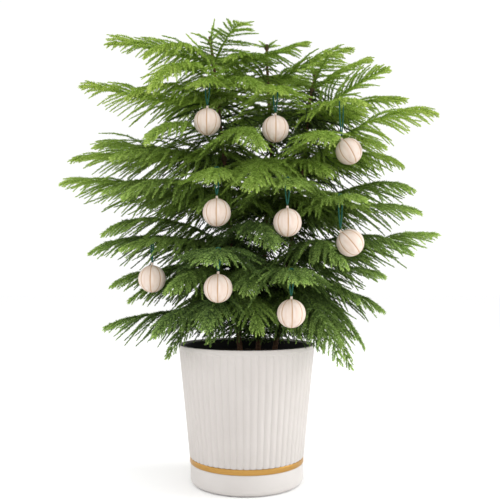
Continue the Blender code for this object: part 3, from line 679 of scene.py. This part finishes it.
def clear_cut(start, middle, end, balls):
    """How far along each curve it stays clear of the balls, the view of them, and the pot."""
    tries = np.linspace(0, 1, CUT_TRIES)[None, :, None]
    place = on_curves(start, middle, end, tries)
    out = np.hypot(place[..., 0], place[..., 1])
    near = (place[..., 2] < RIM_HEIGHT + RIM_ROOM_ABOVE) & (out < RIM_RADIUS + RIM_ROOM_ROUND)
    for ball in balls:
        near |= from_sight(place, ball) < BALL_RADIUS + BALL_ROOM
    first = np.where(near.any(1), near.argmax(1) - 1, CUT_TRIES - 1)
    return np.maximum(first, 0) / (CUT_TRIES - 1)


def painted_crown_light(places):
    """How far out places lie in the crown, which narrows towards the top, from 0 to 1: the painted light of
    the foliage, lighter towards the crown's edge and painted shade towards its middle.
    """
    crown = CROWN_RADIUS - CROWN_TAPER * np.maximum(0, places[:, 2] - CROWN_SHOULDER)
    return np.clip(np.hypot(places[:, 0], places[:, 1]) / crown, 0, 1) ** CROWN_CURVE


def branchlet_shares(frond, dice):
    """Where on the rachis the branchlets of both sides grow, and the side of each."""
    count = max(LEAST_BRANCHLETS, round(frond_length(frond) / BRANCHLET_STEP))
    share = (np.arange(count) + 0.5) / count
    share = np.clip(np.tile(share[share > FIRST_BRANCHLET], 2), 0, LAST_BRANCHLET)
    side = np.repeat([1.0, -1.0], len(share) // 2)[:, None]
    share = share + dice.uniform(-PLACE_JITTER, PLACE_JITTER, len(share)) / count
    return np.clip(share, *PLACE_RANGE), side


def branchlet_curves(frond, share, side, dice):
    """Roots, middles and tips of the branchlets, which bow upwards and sweep back."""
    count = len(share)
    length = frond_length(frond) * WIDTH_SHARE * frond_width(share) + TIP_BRANCHLET
    length = (length * dice.uniform(*LENGTH_RANGE, count))[:, None]
    wide, narrow = BRANCHLET_ANGLES
    angle = wide + (narrow - wide) * share + dice.normal(0, ANGLE_SPREAD, count)
    angle = np.radians(angle)[:, None]
    hang = frond.hang * (ROOT_HANG + (TIP_HANG - ROOT_HANG) * share)
    droop = np.radians(hang + dice.normal(0, HANG_SPREAD, count))[:, None]
    ahead = rachis_ahead(frond, share)
    aim = ahead * np.cos(angle) + side_of(frond) * side * np.sin(angle)
    start = rachis_place(frond, share)
    end = start + unit(aim * np.cos(droop) - UP * np.sin(droop)) * length
    bow = BRANCHLET_BOW * dice.uniform(*BOW_RANGE, count)[:, None]
    middle = (start + end) / 2 + UP * length * bow - ahead * length * BRANCHLET_SWEEP
    return start, middle, end


def leaf_tone(parts, outward, light, dice):
    """Tones of branchlets by their place on the frond and by painted light: lighter out in the crown,
    painted shade in its middle.
    """
    base, by_place, by_painted_light, spread = parts
    return base + by_place * outward + by_painted_light * light + dice.normal(0, spread, len(outward))


def frond_strands(frond, dice, balls):
    """Paths of the frond's branchlets, with the tones of their roots and tips."""
    share, side = branchlet_shares(frond, dice)
    start, middle, end = branchlet_curves(frond, share, side, dice)
    cut = clear_cut(start, middle, end, balls)
    kept = cut > LEAST_CUT
    outward = share[kept] ** OUTWARD_CURVE
    # Painted light: branchlets out in the crown lighter, those in its middle darker as painted shade
    light = painted_crown_light(start[kept])
    tones = [leaf_tone(parts, outward, light, dice) for parts in (ROOT_TONE, TIP_TONE)]
    return bent(start, middle, end, cut)[kept], np.stack(tones, 1)


def inner_shoots(tree, height, dice, balls):
    """Short dark shoots that hang from the stem below a whorl and close the crown's middle."""
    levels = height - dice.uniform(0, INNER_FALL, INNER_SHOOTS)
    start = np.array([stem_place(tree, level) for level in levels])
    turn = dice.uniform(0, math.tau, INNER_SHOOTS)
    steepness = dice.uniform(*INNER_STEEPNESS, INNER_SHOOTS)
    aim = unit(np.stack([np.cos(turn), np.sin(turn), -steepness], 1))
    length = dice.uniform(*INNER_LENGTH, INNER_SHOOTS)[:, None]
    end = start + aim * length
    middle = (start + end) / 2 + UP * INNER_BOW * length
    cut = clear_cut(start, middle, end, balls)
    kept = cut > INNER_LEAST_CUT
    root, tip = INNER_TONES
    tips = tip + dice.normal(0, INNER_TONE_SPREAD, kept.sum())
    tones = np.stack([np.full(len(tips), root), tips], 1)
    return bent(start, middle, end, cut)[kept], tones


def rachis_strand(frond):
    """The frond's own axis as a path, a little longer than the rachis, with its tones."""
    path = rachis_place(frond, np.linspace(RACHIS_START, 1.0, PATH_STEPS + 1))
    path[-1] += unit(path[-1] - path[-2]) * TIP_BRANCHLET / 2
    return path[None], np.array([RACHIS_TONES])


def frames_along(paths):
    """The way ahead and two directions across it, for each piece of each path."""
    ahead = unit(paths[:, 1:] - paths[:, :-1])
    across = unit(np.cross(ahead, ACROSS_FROM))
    return ahead, across, np.cross(ahead, across)


def spot_on(paths, strand, t):
    """Points at shares t along the strands of those numbers, and the piece that each is on."""
    piece = np.minimum((t * PATH_STEPS).astype(int), PATH_STEPS - 1)
    part = (t * PATH_STEPS - piece)[:, None]
    return paths[strand, piece] * (1 - part) + paths[strand, piece + 1] * part, piece


def needle_places(paths, step, dice):
    """The strand of each needle, its number on it, and its share of the way along."""
    lengths = np.linalg.norm(paths[:, 1:] - paths[:, :-1], axis=2).sum(1)
    counts = np.maximum(LEAST_NEEDLES, (lengths / step).astype(int))
    strand = np.repeat(np.arange(len(paths)), counts)
    order = np.arange(len(strand)) - np.repeat(np.cumsum(counts) - counts, counts)
    t = (order + dice.uniform(*NEEDLE_JITTER, len(order))) / counts[strand]
    return strand, order, np.clip(t, 0, LAST_NEEDLE)


def needle_blades(paths, strand, order, t, size, dice):
    """The points of one thin blade for each needle: two at its root and one at its tip."""
    root, piece = spot_on(paths, strand, t)
    ahead, across, over = (f[strand, piece] for f in frames_along(paths))
    turn = (order * GOLDEN_TURN + dice.uniform(-TURN_JITTER, TURN_JITTER, len(t)))[:, None]
    out = across * np.cos(turn) + over * np.sin(turn)
    lean = NEEDLE_LEAN - TIP_LEAN * t ** TIP_CURVE + dice.normal(0, LEAN_SPREAD, len(t))
    lean = np.radians(lean)[:, None]
    aim = ahead * np.cos(lean) + out * np.sin(lean)
    flat = np.cross(ahead, out)
    twist = dice.uniform(0, math.pi, len(t))[:, None]
    wide = flat * np.cos(twist) + np.cross(aim, flat) * np.sin(twist)
    long = size * dice.uniform(*NEEDLE_RANGE, len(t)) * (1 - TIP_SHORTENING * t ** TIP_CURVE)
    half = wide * NEEDLE_WIDTH / 2
    return np.stack([root - half, root + half, root + aim * long[:, None]], 1).reshape(-1, 3)


def needle_tones(tones, age, strand, t, dice):
    """Places on the tone map for the points of each needle, which lightens to its tip."""
    tone = tones[strand, 0] + (tones[strand, 1] - tones[strand, 0]) * t ** TONE_CURVE
    tone += dice.normal(0, NEEDLE_TONE_SPREAD, len(t))
    old = np.clip(age + dice.normal(0, NEEDLE_AGE_SPREAD, len(t)), *NEEDLE_TONES)
    low = np.clip(tone - NEEDLE_ROOT_SHADE, *NEEDLE_TONES)
    high = np.clip(tone + NEEDLE_TIP_SHINE, *NEEDLE_TIP_TONES)
    corners = [(low, old - MAP_SPREAD), (low, old + MAP_SPREAD), (high, old)]
    return np.stack([np.stack(corner, 1) for corner in corners], 1).reshape(-1, 2)


def needle_mesh(paths, tones, age, step, size, dice):
    """One thin blade after another round each path, as points, faces and tone places."""
    strand, order, t = needle_places(paths, step, dice)
    points = needle_blades(paths, strand, order, t, size, dice)
    faces = np.arange(len(points)).reshape(-1, 3)
    return points, faces, needle_tones(tones, age, strand, t, dice)


def core_mesh(paths, tones, age, thickness):
    """A three-sided tapering core along each path, thick at its root and thin at its tip."""
    _, across, over = frames_along(paths)
    across = np.concatenate([across, across[:, -1:]], 1)
    over = np.concatenate([over, over[:, -1:]], 1)
    thick, thin = thickness
    t = np.linspace(0, 1, PATH_STEPS + 1)
    radius = (thick + (thin - thick) * t)[None, :, None]
    turns = np.arange(CORE_SIDES) * math.tau / CORE_SIDES
    sides = [paths + (across * math.cos(turn) + over * math.sin(turn)) * radius for turn in turns]
    points = np.stack(sides, 2)
    faces = triangles(skin(np.arange(points[..., 0].size).reshape(points.shape[:3])))
    tone = tones[:, :1] * CORE_TONE + (tones[:, 1:] - tones[:, :1]) * t[None] * CORE_GAIN
    tone = np.repeat(np.clip(tone, *CORE_TONES).ravel(), CORE_SIDES)
    spread = np.tile([-MAP_SPREAD, 0.0, MAP_SPREAD], len(tone) // CORE_SIDES)
    uvs = np.stack([tone, np.clip(age + spread, *CORE_AGES)], 1)[faces.ravel()]
    return points.reshape(-1, 3), faces, uvs


def dressed(strands, age, thickness, step, size, dice):
    """The cores and the needles of the strands, which are paths with their tones."""
    paths, tones = strands
    return [core_mesh(paths, tones, age, thickness),
            needle_mesh(paths, tones, age, step, size, dice)]


def gather(parts):
    """Joins (points, faces, uvs) triples into one."""
    points, faces, uvs = zip(*parts)
    starts = np.cumsum([0] + [len(some) for some in points[:-1]])
    faces = [some + start for some, start in zip(faces, starts)]
    return np.concatenate(points), np.concatenate(faces), np.concatenate(uvs)


def ring_points(size, height, turns):
    """Points round Z at a height, at a radius or at one radius for each turn."""
    return np.stack([size * np.cos(turns), size * np.sin(turns), np.full(len(turns), height)], 1)


def collar_part(tree, height):
    """The swelling of the stem at a whorl, in the brown of the tone map's left edge."""
    radius = stem_radius(tree, height) + COLLAR_EXTRA
    rises = np.linspace(-COLLAR_HALF, COLLAR_HALF, COLLAR_RINGS)
    sizes = radius * np.sqrt(1 - (rises / COLLAR_ROUND) ** 2)
    turns = np.arange(COLLAR_SIDES) * math.tau / COLLAR_SIDES
    rings = [ring_points(size, rise, turns) for size, rise in zip(sizes, rises)]
    points = stem_place(tree, height) + np.concatenate(rings)
    faces = triangles(skin(np.arange(len(points)).reshape(COLLAR_RINGS, COLLAR_SIDES)))
    return points, faces, np.tile(COLLAR_MAP, (len(faces), 1))


def make_whorl(name, fronds, balls, green, dice):
    """All fronds of a whorl, with their branchlets and needles, in place of its node."""
    tree, height, _ = WHORLS[name]
    whorl_age = (height - OLD_HEIGHT) / (YOUNG_HEIGHT - OLD_HEIGHT)
    parts = [collar_part(tree, height)]
    if height < INNER_TOP:
        strands = inner_shoots(tree, height, dice, balls)
        parts += dressed(strands, OLD_AGE, INNER_CORE, INNER_NEEDLE_STEP, NEEDLE_LENGTH, dice)
    for frond in fronds:
        age = np.clip(whorl_age + dice.normal(0, FROND_AGE_SPREAD), *FROND_AGES)
        short = frond.reach < SHORT_FROND
        parts += dressed(rachis_strand(frond), age, SHORT_CORE if short else RACHIS_CORE,
                         RACHIS_NEEDLE_STEP, RACHIS_NEEDLE_LENGTH, dice)
        if not short:
            strands = frond_strands(frond, dice, balls)
            parts += dressed(strands, age, BRANCHLET_CORE, NEEDLE_STEP, NEEDLE_LENGTH, dice)
    mesh = mesh_from(name + "_needles", *gather(parts), smooth=False)
    add_piece(mesh, green, "foliage", name)


# Turned and drawn shapes


def turned(name, profile, columns, radius_at=None):
    """Turns (radius, height) points about Z. radius_at(turns, radius, height) may change a ring."""
    turns = np.arange(columns) * math.tau / columns
    rings = []
    for radius, height in profile:
        size = radius if radius_at is None else radius_at(turns, radius, height)
        rings.append(ring_points(size, height, turns))
    index = np.arange(len(profile) * columns).reshape(len(profile), columns)
    mesh = mesh_from(name, np.concatenate(rings), skin(index)[:, [0, 3, 2, 1]])
    close_ends(mesh)
    return mesh


def close_ends(mesh):
    """Welds the rings of no radius to points and turns all faces outwards."""
    made = bmesh.new()
    made.from_mesh(mesh)
    bmesh.ops.remove_doubles(made, verts=made.verts, dist=0.00001)
    bmesh.ops.recalc_face_normals(made, faces=made.faces)
    made.to_mesh(mesh)
    made.free()


def arc(centre_radius, centre_height, size, start, end, count):
    """Profile points on part of a circle, between two angles in degrees."""
    angles = np.radians(np.linspace(start, end, count + 1))
    return [(centre_radius + size * math.cos(a), centre_height + size * math.sin(a)) for a in angles]


def wall_radius(height):
    share = (height - SHOULDER_HEIGHT) / (RIM_HEIGHT - SHOULDER_HEIGHT)
    return SHOULDER_RADIUS + (RIM_RADIUS - SHOULDER_RADIUS) * share


def fluted(turns, radius, height):
    """The wall's radius round a ring: scalloped between the shoulder and the lip."""
    lip = RIM_HEIGHT - LIP_HEIGHT
    inside = radius < wall_radius(height) - WALL / 2
    if inside or height >= lip or height < SHOULDER_HEIGHT:
        return radius
    fade = min(1.0, (lip - height) / FLUTE_FADE)
    scallop = np.abs(np.sin(turns * FLUTES / 2)) ** SCALLOP
    return radius - FLUTE_DEPTH * fade * (1 - scallop)


def make_pot(white):
    """The cover pot: a plain foot, a fluted wall and a smooth round lip."""
    top = RIM_HEIGHT - LIP_ROUND
    profile = [(0, POT_FLOOR), (FOOT_RADIUS - WALL, POT_FLOOR), (FOOT_RADIUS - WALL, KNEE_LOW),
               (SHOULDER_RADIUS - WALL, KNEE_HIGH), (RIM_RADIUS - WALL, top)]
    profile += arc(RIM_RADIUS - WALL + LIP_ROUND, top, LIP_ROUND, 180, 90, 3)
    profile += arc(RIM_RADIUS - LIP_ROUND, top, LIP_ROUND, 90, 0, 3)
    heights = [RIM_HEIGHT - LIP_HEIGHT - drop for drop in LIP_DROPS]
    profile += [(wall_radius(height), height) for height in (*heights, *WALL_RINGS)]
    profile += [(SHOULDER_RADIUS - SHOULDER_ROUND, SHOULDER_HEIGHT), (FOOT_RADIUS, SHOULDER_HEIGHT),
                (FOOT_RADIUS, BASE_FLOOR), (0, BASE_FLOOR)]
    mesh = turned("fluted_pot", profile, FLUTES * FLUTE_COLUMNS, fluted)
    add_piece(mesh, white, "pot_white", "pot")


def make_band(gold):
    """The gold ring, with its outer edges rounded."""
    inner = FOOT_RADIUS + GAP
    profile = [(inner, BAND_LOW), (BAND_RADIUS - EDGE, BAND_LOW)]
    profile += arc(BAND_RADIUS - EDGE, BAND_LOW + EDGE, EDGE, -60, 0, 2)
    profile += arc(BAND_RADIUS - EDGE, BAND_HIGH - EDGE, EDGE, 0, 60, 2)
    profile += [(BAND_RADIUS - EDGE, BAND_HIGH), (inner, BAND_HIGH), (inner, BAND_LOW)]
    add_piece(turned("gold_band_ring", profile, SMOOTH_COLUMNS), gold, "gold", "gold_band")


def make_base(white):
    """The shallow base, open at the top for the pot's foot and well rounded below."""
    inner = FOOT_RADIUS + GAP
    profile = [(0, BASE_FLOOR - GAP), (inner, BASE_FLOOR - GAP), (inner, BASE_HEIGHT),
               (BASE_RADIUS - EDGE, BASE_HEIGHT)]
    profile += arc(BASE_RADIUS - EDGE, BASE_HEIGHT - EDGE, EDGE, 60, 0, 2)
    profile += arc(BASE_RADIUS - BASE_ROUND, BASE_ROUND, BASE_ROUND, 0, -90, 10)
    profile.append((0, 0))
    add_piece(turned("rounded_base", profile, SMOOTH_COLUMNS), white, "base_white", "base")


def make_liner(black):
    """The nursery pot, with a rolled rim and a skirt below it."""
    neck = LINER_RIM - LINER_NECK_DROP
    skirt = LINER_RIM - LINER_SKIRT
    profile = [(0, LINER_FLOOR), (LINER_INSIDE, LINER_FLOOR), (LINER_NECK, neck)]
    profile += arc(LINER_ROLL_RADIUS, LINER_RIM - LINER_ROLL, LINER_ROLL, 180, 0, 6)
    profile += [(LINER_ROLL_RADIUS + LINER_ROLL, skirt), (LINER_SKIRT_INSIDE, skirt),
                (LINER_OUTSIDE, LINER_UNDER), (0, LINER_UNDER)]
    mesh = turned("nursery_pot_shell", profile, LINER_COLUMNS)
    add_piece(mesh, black, "black_liner", "nursery_pot")


def soil_height(x, y):
    """The soil's mounded and crumbly surface."""
    out = np.hypot(x, y) / SOIL_RADIUS
    lumps = np.sin(x * 170 + 2 * np.sin(y * 110)) * np.sin(y * 190 + 1.7 * np.sin(x * 130))
    grains = np.sin(x * 610 + 3 * np.sin(y * 430)) * np.sin(y * 570 + 2.6 * np.sin(x * 510))
    return SOIL_HEIGHT + SOIL_SWELL * (1 - out ** 2) + SOIL_LUMPS * lumps + SOIL_GRAINS * grains


def make_soil(dark):
    """A body of soil with a rough top."""
    profile = [(0, SOIL_FLOOR), (SOIL_FOOT_RADIUS, SOIL_FLOOR), (SOIL_RADIUS, SOIL_HEIGHT - SOIL_EDGE)]
    profile += [(SOIL_RADIUS * share, SOIL_HEIGHT) for share in np.linspace(0.99, 0.0, SOIL_RINGS)]
    mesh = turned("soil_body", profile, SOIL_COLUMNS)
    places = point_places(mesh)
    top = places[:, 2] > SOIL_HEIGHT - SOIL_EDGE / 2
    places[top, 2] = soil_height(places[top, 0], places[top, 1])
    mesh.vertices.foreach_set("co", places.ravel())
    add_piece(mesh, dark, "soil", "soil")


def make_crumbs(dark, dice):
    """Crumbs and bark chips that lie on the soil."""
    lump = bmesh.new()
    bmesh.ops.create_icosphere(lump, subdivisions=1, radius=1)
    corners = np.array([v.co for v in lump.verts])
    sides = np.array([[v.index for v in f.verts] for f in lump.faces])
    lump.free()
    points, faces = [], []
    for number in range(SOIL_CRUMBS):
        out = SOIL_RADIUS * CRUMB_REACH * math.sqrt(dice.uniform(0, 1))
        turn = dice.uniform(0, math.tau)
        x, y = out * math.cos(turn), out * math.sin(turn)
        size = np.array([1, dice.uniform(*CRUMB_WIDTHS), dice.uniform(*CRUMB_HEIGHTS)])
        size = size * dice.uniform(*CRUMB_SIZES)
        spin = np.array(Matrix.Rotation(dice.uniform(0, math.tau), 3, "Z"))
        crumb = corners * size * dice.uniform(*CRUMB_BUMPS, (len(corners), 1))
        points.append(crumb @ spin.T + np.array([x, y, soil_height(x, y) + size[2] * CRUMB_RISE]))
        faces.append(sides + number * len(corners))
    mesh = mesh_from("soil_crumbs", np.concatenate(points), np.concatenate(faces), smooth=False)
    add_piece(mesh, dark, "soil")


def tube(name, points, radii, roundness, ring=False):
    """A round tube through the points, closed in a ring or with flat ends."""
    curve = bpy.data.curves.new(name, "CURVE")
    curve.dimensions = "3D"
    curve.bevel_depth = 1.0
    curve.bevel_resolution = roundness
    curve.use_fill_caps = not ring
    spline = curve.splines.new("POLY")
    spline.points.add(len(points) - 1)
    spline.use_cyclic_u = ring
    for place, point, radius in zip(spline.points, points, radii):
        place.co = (*point, 1.0)
        place.radius = radius
    drawn = show(name, curve)
    bpy.context.view_layer.update()
    mesh = bpy.data.meshes.new_from_object(drawn.evaluated_get(bpy.context.evaluated_depsgraph_get()))
    bpy.data.objects.remove(drawn)
    bpy.data.curves.remove(curve)
    mesh.name = name
    mesh.shade_smooth()
    return mesh


def make_stem(tree, bark, dice):
    """A stem with the low rings and scars of its bark."""
    low, high = STEMS[tree][0][2], STEMS[tree][-1][2]
    points = [stem_place(tree, height) for height in np.arange(low, high, BARK_STEP)]
    points.append(np.array(STEMS[tree][-1]))
    radii = []
    for point in points:
        wave = BARK_ROUGHNESS * math.sin(point[2] * BARK_WAVES)
        scar = dice.uniform(-BARK_ROUGHNESS, BARK_ROUGHNESS)
        radii.append(stem_radius(tree, point[2]) * (1 + wave + scar))
    add_piece(tube(tree + "_bark", points, radii, BARK_ROUNDNESS), bark, "bark", tree + "_stem")


# Balls


def rachis_radius(frond, share):
    """The radius of the frond's axis in the solids, at a share along it."""
    root = RACHIS_TIP_RADIUS + (RACHIS_RADIUS - RACHIS_TIP_RADIUS) * min(1, frond.reach / FULL_FROND)
    return root + (RACHIS_TIP_RADIUS - root) * share


class Ball:
    """Where a ball and its ring of string hang on a rachis."""

    def __init__(self, number, fronds):
        whorl, which, share, length, lean = BALLS[number]
        frond = next(f for f in fronds if (f.whorl, f.number) == (whorl, which))
        seat = rachis_place(frond, share)[0]
        radius = rachis_radius(frond, share)
        level = np.linalg.norm(rachis_ahead(frond, np.array([share]))[0][:2])
        out = side_of(frond) * (radius + SEAT_ROOM + STRING_RADIUS)
        top = UP * (radius / level + GAP + STRING_RADIUS)
        half = UP * length / 2
        low = seat - UP * length
        self.name = f"ball_{number + 1}"
        waist, above = out * STRING_WAIST, out * STRING_TOP
        self.ring = [low, seat + waist - half, seat + out, seat + above + top,
                     seat - above + top, seat - out, seat - waist - half]
        angle = math.radians(lean)
        self.axis = np.array([-math.sin(angle), 0, math.cos(angle)])
        self.centre = low - self.axis * (BALL_RADIUS + NUB_HEIGHT / 2)


def ball_profile():
    """The nub and half a circle, from the top down to the foot."""
    neck = NUB_RADIUS * NECK_SHARE
    rings = [(0.0, BALL_RADIUS + NUB_HEIGHT), (neck * 0.75, BALL_RADIUS + NUB_HEIGHT),
             (neck, BALL_RADIUS + NUB_HEIGHT * 0.8), (neck, BALL_RADIUS + POLE_RADIUS)]
    return rings + arc(0, 0, BALL_RADIUS, BALL_TOP_ANGLE, -90, BALL_RINGS - 1)


def groove_share(turns, radius):
    """How deep in a groove places at turns and radii lie, from 0 to 1."""
    apart = (turns / math.tau * BALL_GROOVES + 0.5) % 1 - 0.5
    across = np.abs(apart) * math.tau * radius / BALL_GROOVES
    depth = np.clip(1 - across / GROOVE_WIDTH, 0, 1)
    return depth * np.minimum(1.0, radius / (BALL_RADIUS * GROOVE_FADE))


def grooved(turns, radius, height):
    """The ball's radius round a ring: cut by the grooves, but plain at the nub and the foot."""
    if height > BALL_RADIUS * POLE or radius < POLE_RADIUS:
        return radius
    return radius - GROOVE_DEPTH * groove_share(turns + GROOVE_TURN, radius)


def mark_grooves(mesh):
    """Gives each point of a ball its share of the grooves' stain."""
    places = point_places(mesh)
    turns = np.arctan2(places[:, 1], places[:, 0]) + GROOVE_TURN
    depth = groove_share(turns, np.hypot(places[:, 0], places[:, 1]))
    depth[places[:, 2] > BALL_RADIUS * POLE] = 0
    marks = mesh.attributes.new("groove", "FLOAT", "POINT")
    marks.data.foreach_set("value", np.clip(depth * GROOVE_STAIN, 0, 1).astype(np.float32))


def make_ball(ball, wood, teal):
    """A grooved ball in place of its node, and its ring of string."""
    mesh = turned(ball.name + "_wood", ball_profile(), BALL_GROOVES * GROOVE_COLUMNS, grooved)
    mark_grooves(mesh)
    upright = Vector(ball.axis).to_track_quat("Z", "Y").to_matrix().to_4x4()
    place = Matrix.Translation(ball.centre) @ upright
    add_piece(mesh, wood, "ball_wood", ball.name, place=place)
    loop = smooth_ring([Vector(point) for point in ball.ring])
    string = tube(ball.name + "_string", loop, [STRING_THICKNESS] * len(loop), STRING_ROUNDNESS,
                  ring=True)
    add_piece(string, teal, "ball_wood")


def smooth_ring(points):
    """The ring of points, each corner cut back and rounded by two more points a side."""
    near, far = CORNER_STEPS
    made = []
    for number, point in enumerate(points):
        before, after = points[number - 1], points[(number + 1) % len(points)]
        corner = point.lerp(before.lerp(after, 0.5), CORNER_CUT)
        made += [point.lerp(before, far), point.lerp(before, near), corner,
                 point.lerp(after, near), point.lerp(after, far)]
    return made


# Light and camera


def make_stage():
    """A pale floor just below the plant."""
    corners = [(x, y, 0) for x, y in ((-1, -1), (1, -1), (1, 1), (-1, 1))]
    floor = mesh_from("floor", np.array(corners) * FLOOR_REACH, [[0, 1, 2, 3]])
    plain = Shader("pale floor", 0.9, specular=0.0)
    plain.paint(FLOOR_COLOUR)
    floor.materials.append(plain.material)
    ground = show("floor", floor)
    ground.location.z = -FLOOR_DROP


def make_world():
    """Even white light from all round."""
    world = bpy.data.worlds.new("studio")
    world.use_nodes = True
    background = world.node_tree.nodes["Background"]
    background.inputs["Color"].default_value = (1, 1, 1, 1)
    background.inputs["Strength"].default_value = WORLD_LIGHT
    bpy.context.scene.world = world


def make_light(name, place, aim, size, power):
    lamp = bpy.data.lights.new(name, "AREA")
    lamp.size = size
    lamp.energy = power
    made = show(name, lamp)
    made.location = place
    made.rotation_euler = (Vector(aim) - Vector(place)).to_track_quat("-Z", "Y").to_euler()


def make_camera():
    camera = bpy.data.cameras.new("camera")
    camera.lens = CAMERA_LENS
    camera.sensor_width = CAMERA_SENSOR
    camera.shift_x = CAMERA_SHIFT
    made = show("camera", camera)
    made.location = CAMERA_PLACE
    made.rotation_euler = (math.radians(90 + CAMERA_TILT), 0, 0)
    bpy.context.scene.camera = made


def make_plant(dice):
    """The pot with all that stands in it, and all that hangs on the plant."""
    make_base(base_material())
    make_band(gold_material())
    make_pot(pot_material())
    make_liner(liner_material())
    dark = soil_material()
    make_soil(dark)
    make_crumbs(dark, dice)
    bark = bark_material()
    for tree in STEMS:
        make_stem(tree, bark, dice)
    fronds = frond_list()
    balls = [Ball(number, fronds) for number in range(len(BALLS))]
    wood, teal = wood_material(), string_material()
    for ball in balls:
        make_ball(ball, wood, teal)
    green = foliage_material()
    for name in WHORLS:
        make_whorl(name, [f for f in fronds if f.whorl == name], balls, green, dice)


def main():
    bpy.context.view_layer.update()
    make_stage()
    make_world()
    for light in LIGHTS:
        make_light(*light)
    make_camera()
    make_plant(np.random.default_rng(SEED))
    bpy.context.scene.view_settings.view_transform = "Standard"
    bpy.context.view_layer.update()


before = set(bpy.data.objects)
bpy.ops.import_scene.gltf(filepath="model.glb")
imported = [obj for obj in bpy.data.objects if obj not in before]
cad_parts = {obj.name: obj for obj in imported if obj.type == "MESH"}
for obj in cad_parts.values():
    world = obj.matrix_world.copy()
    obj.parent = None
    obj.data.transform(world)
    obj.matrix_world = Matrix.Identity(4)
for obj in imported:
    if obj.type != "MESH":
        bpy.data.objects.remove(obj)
main()
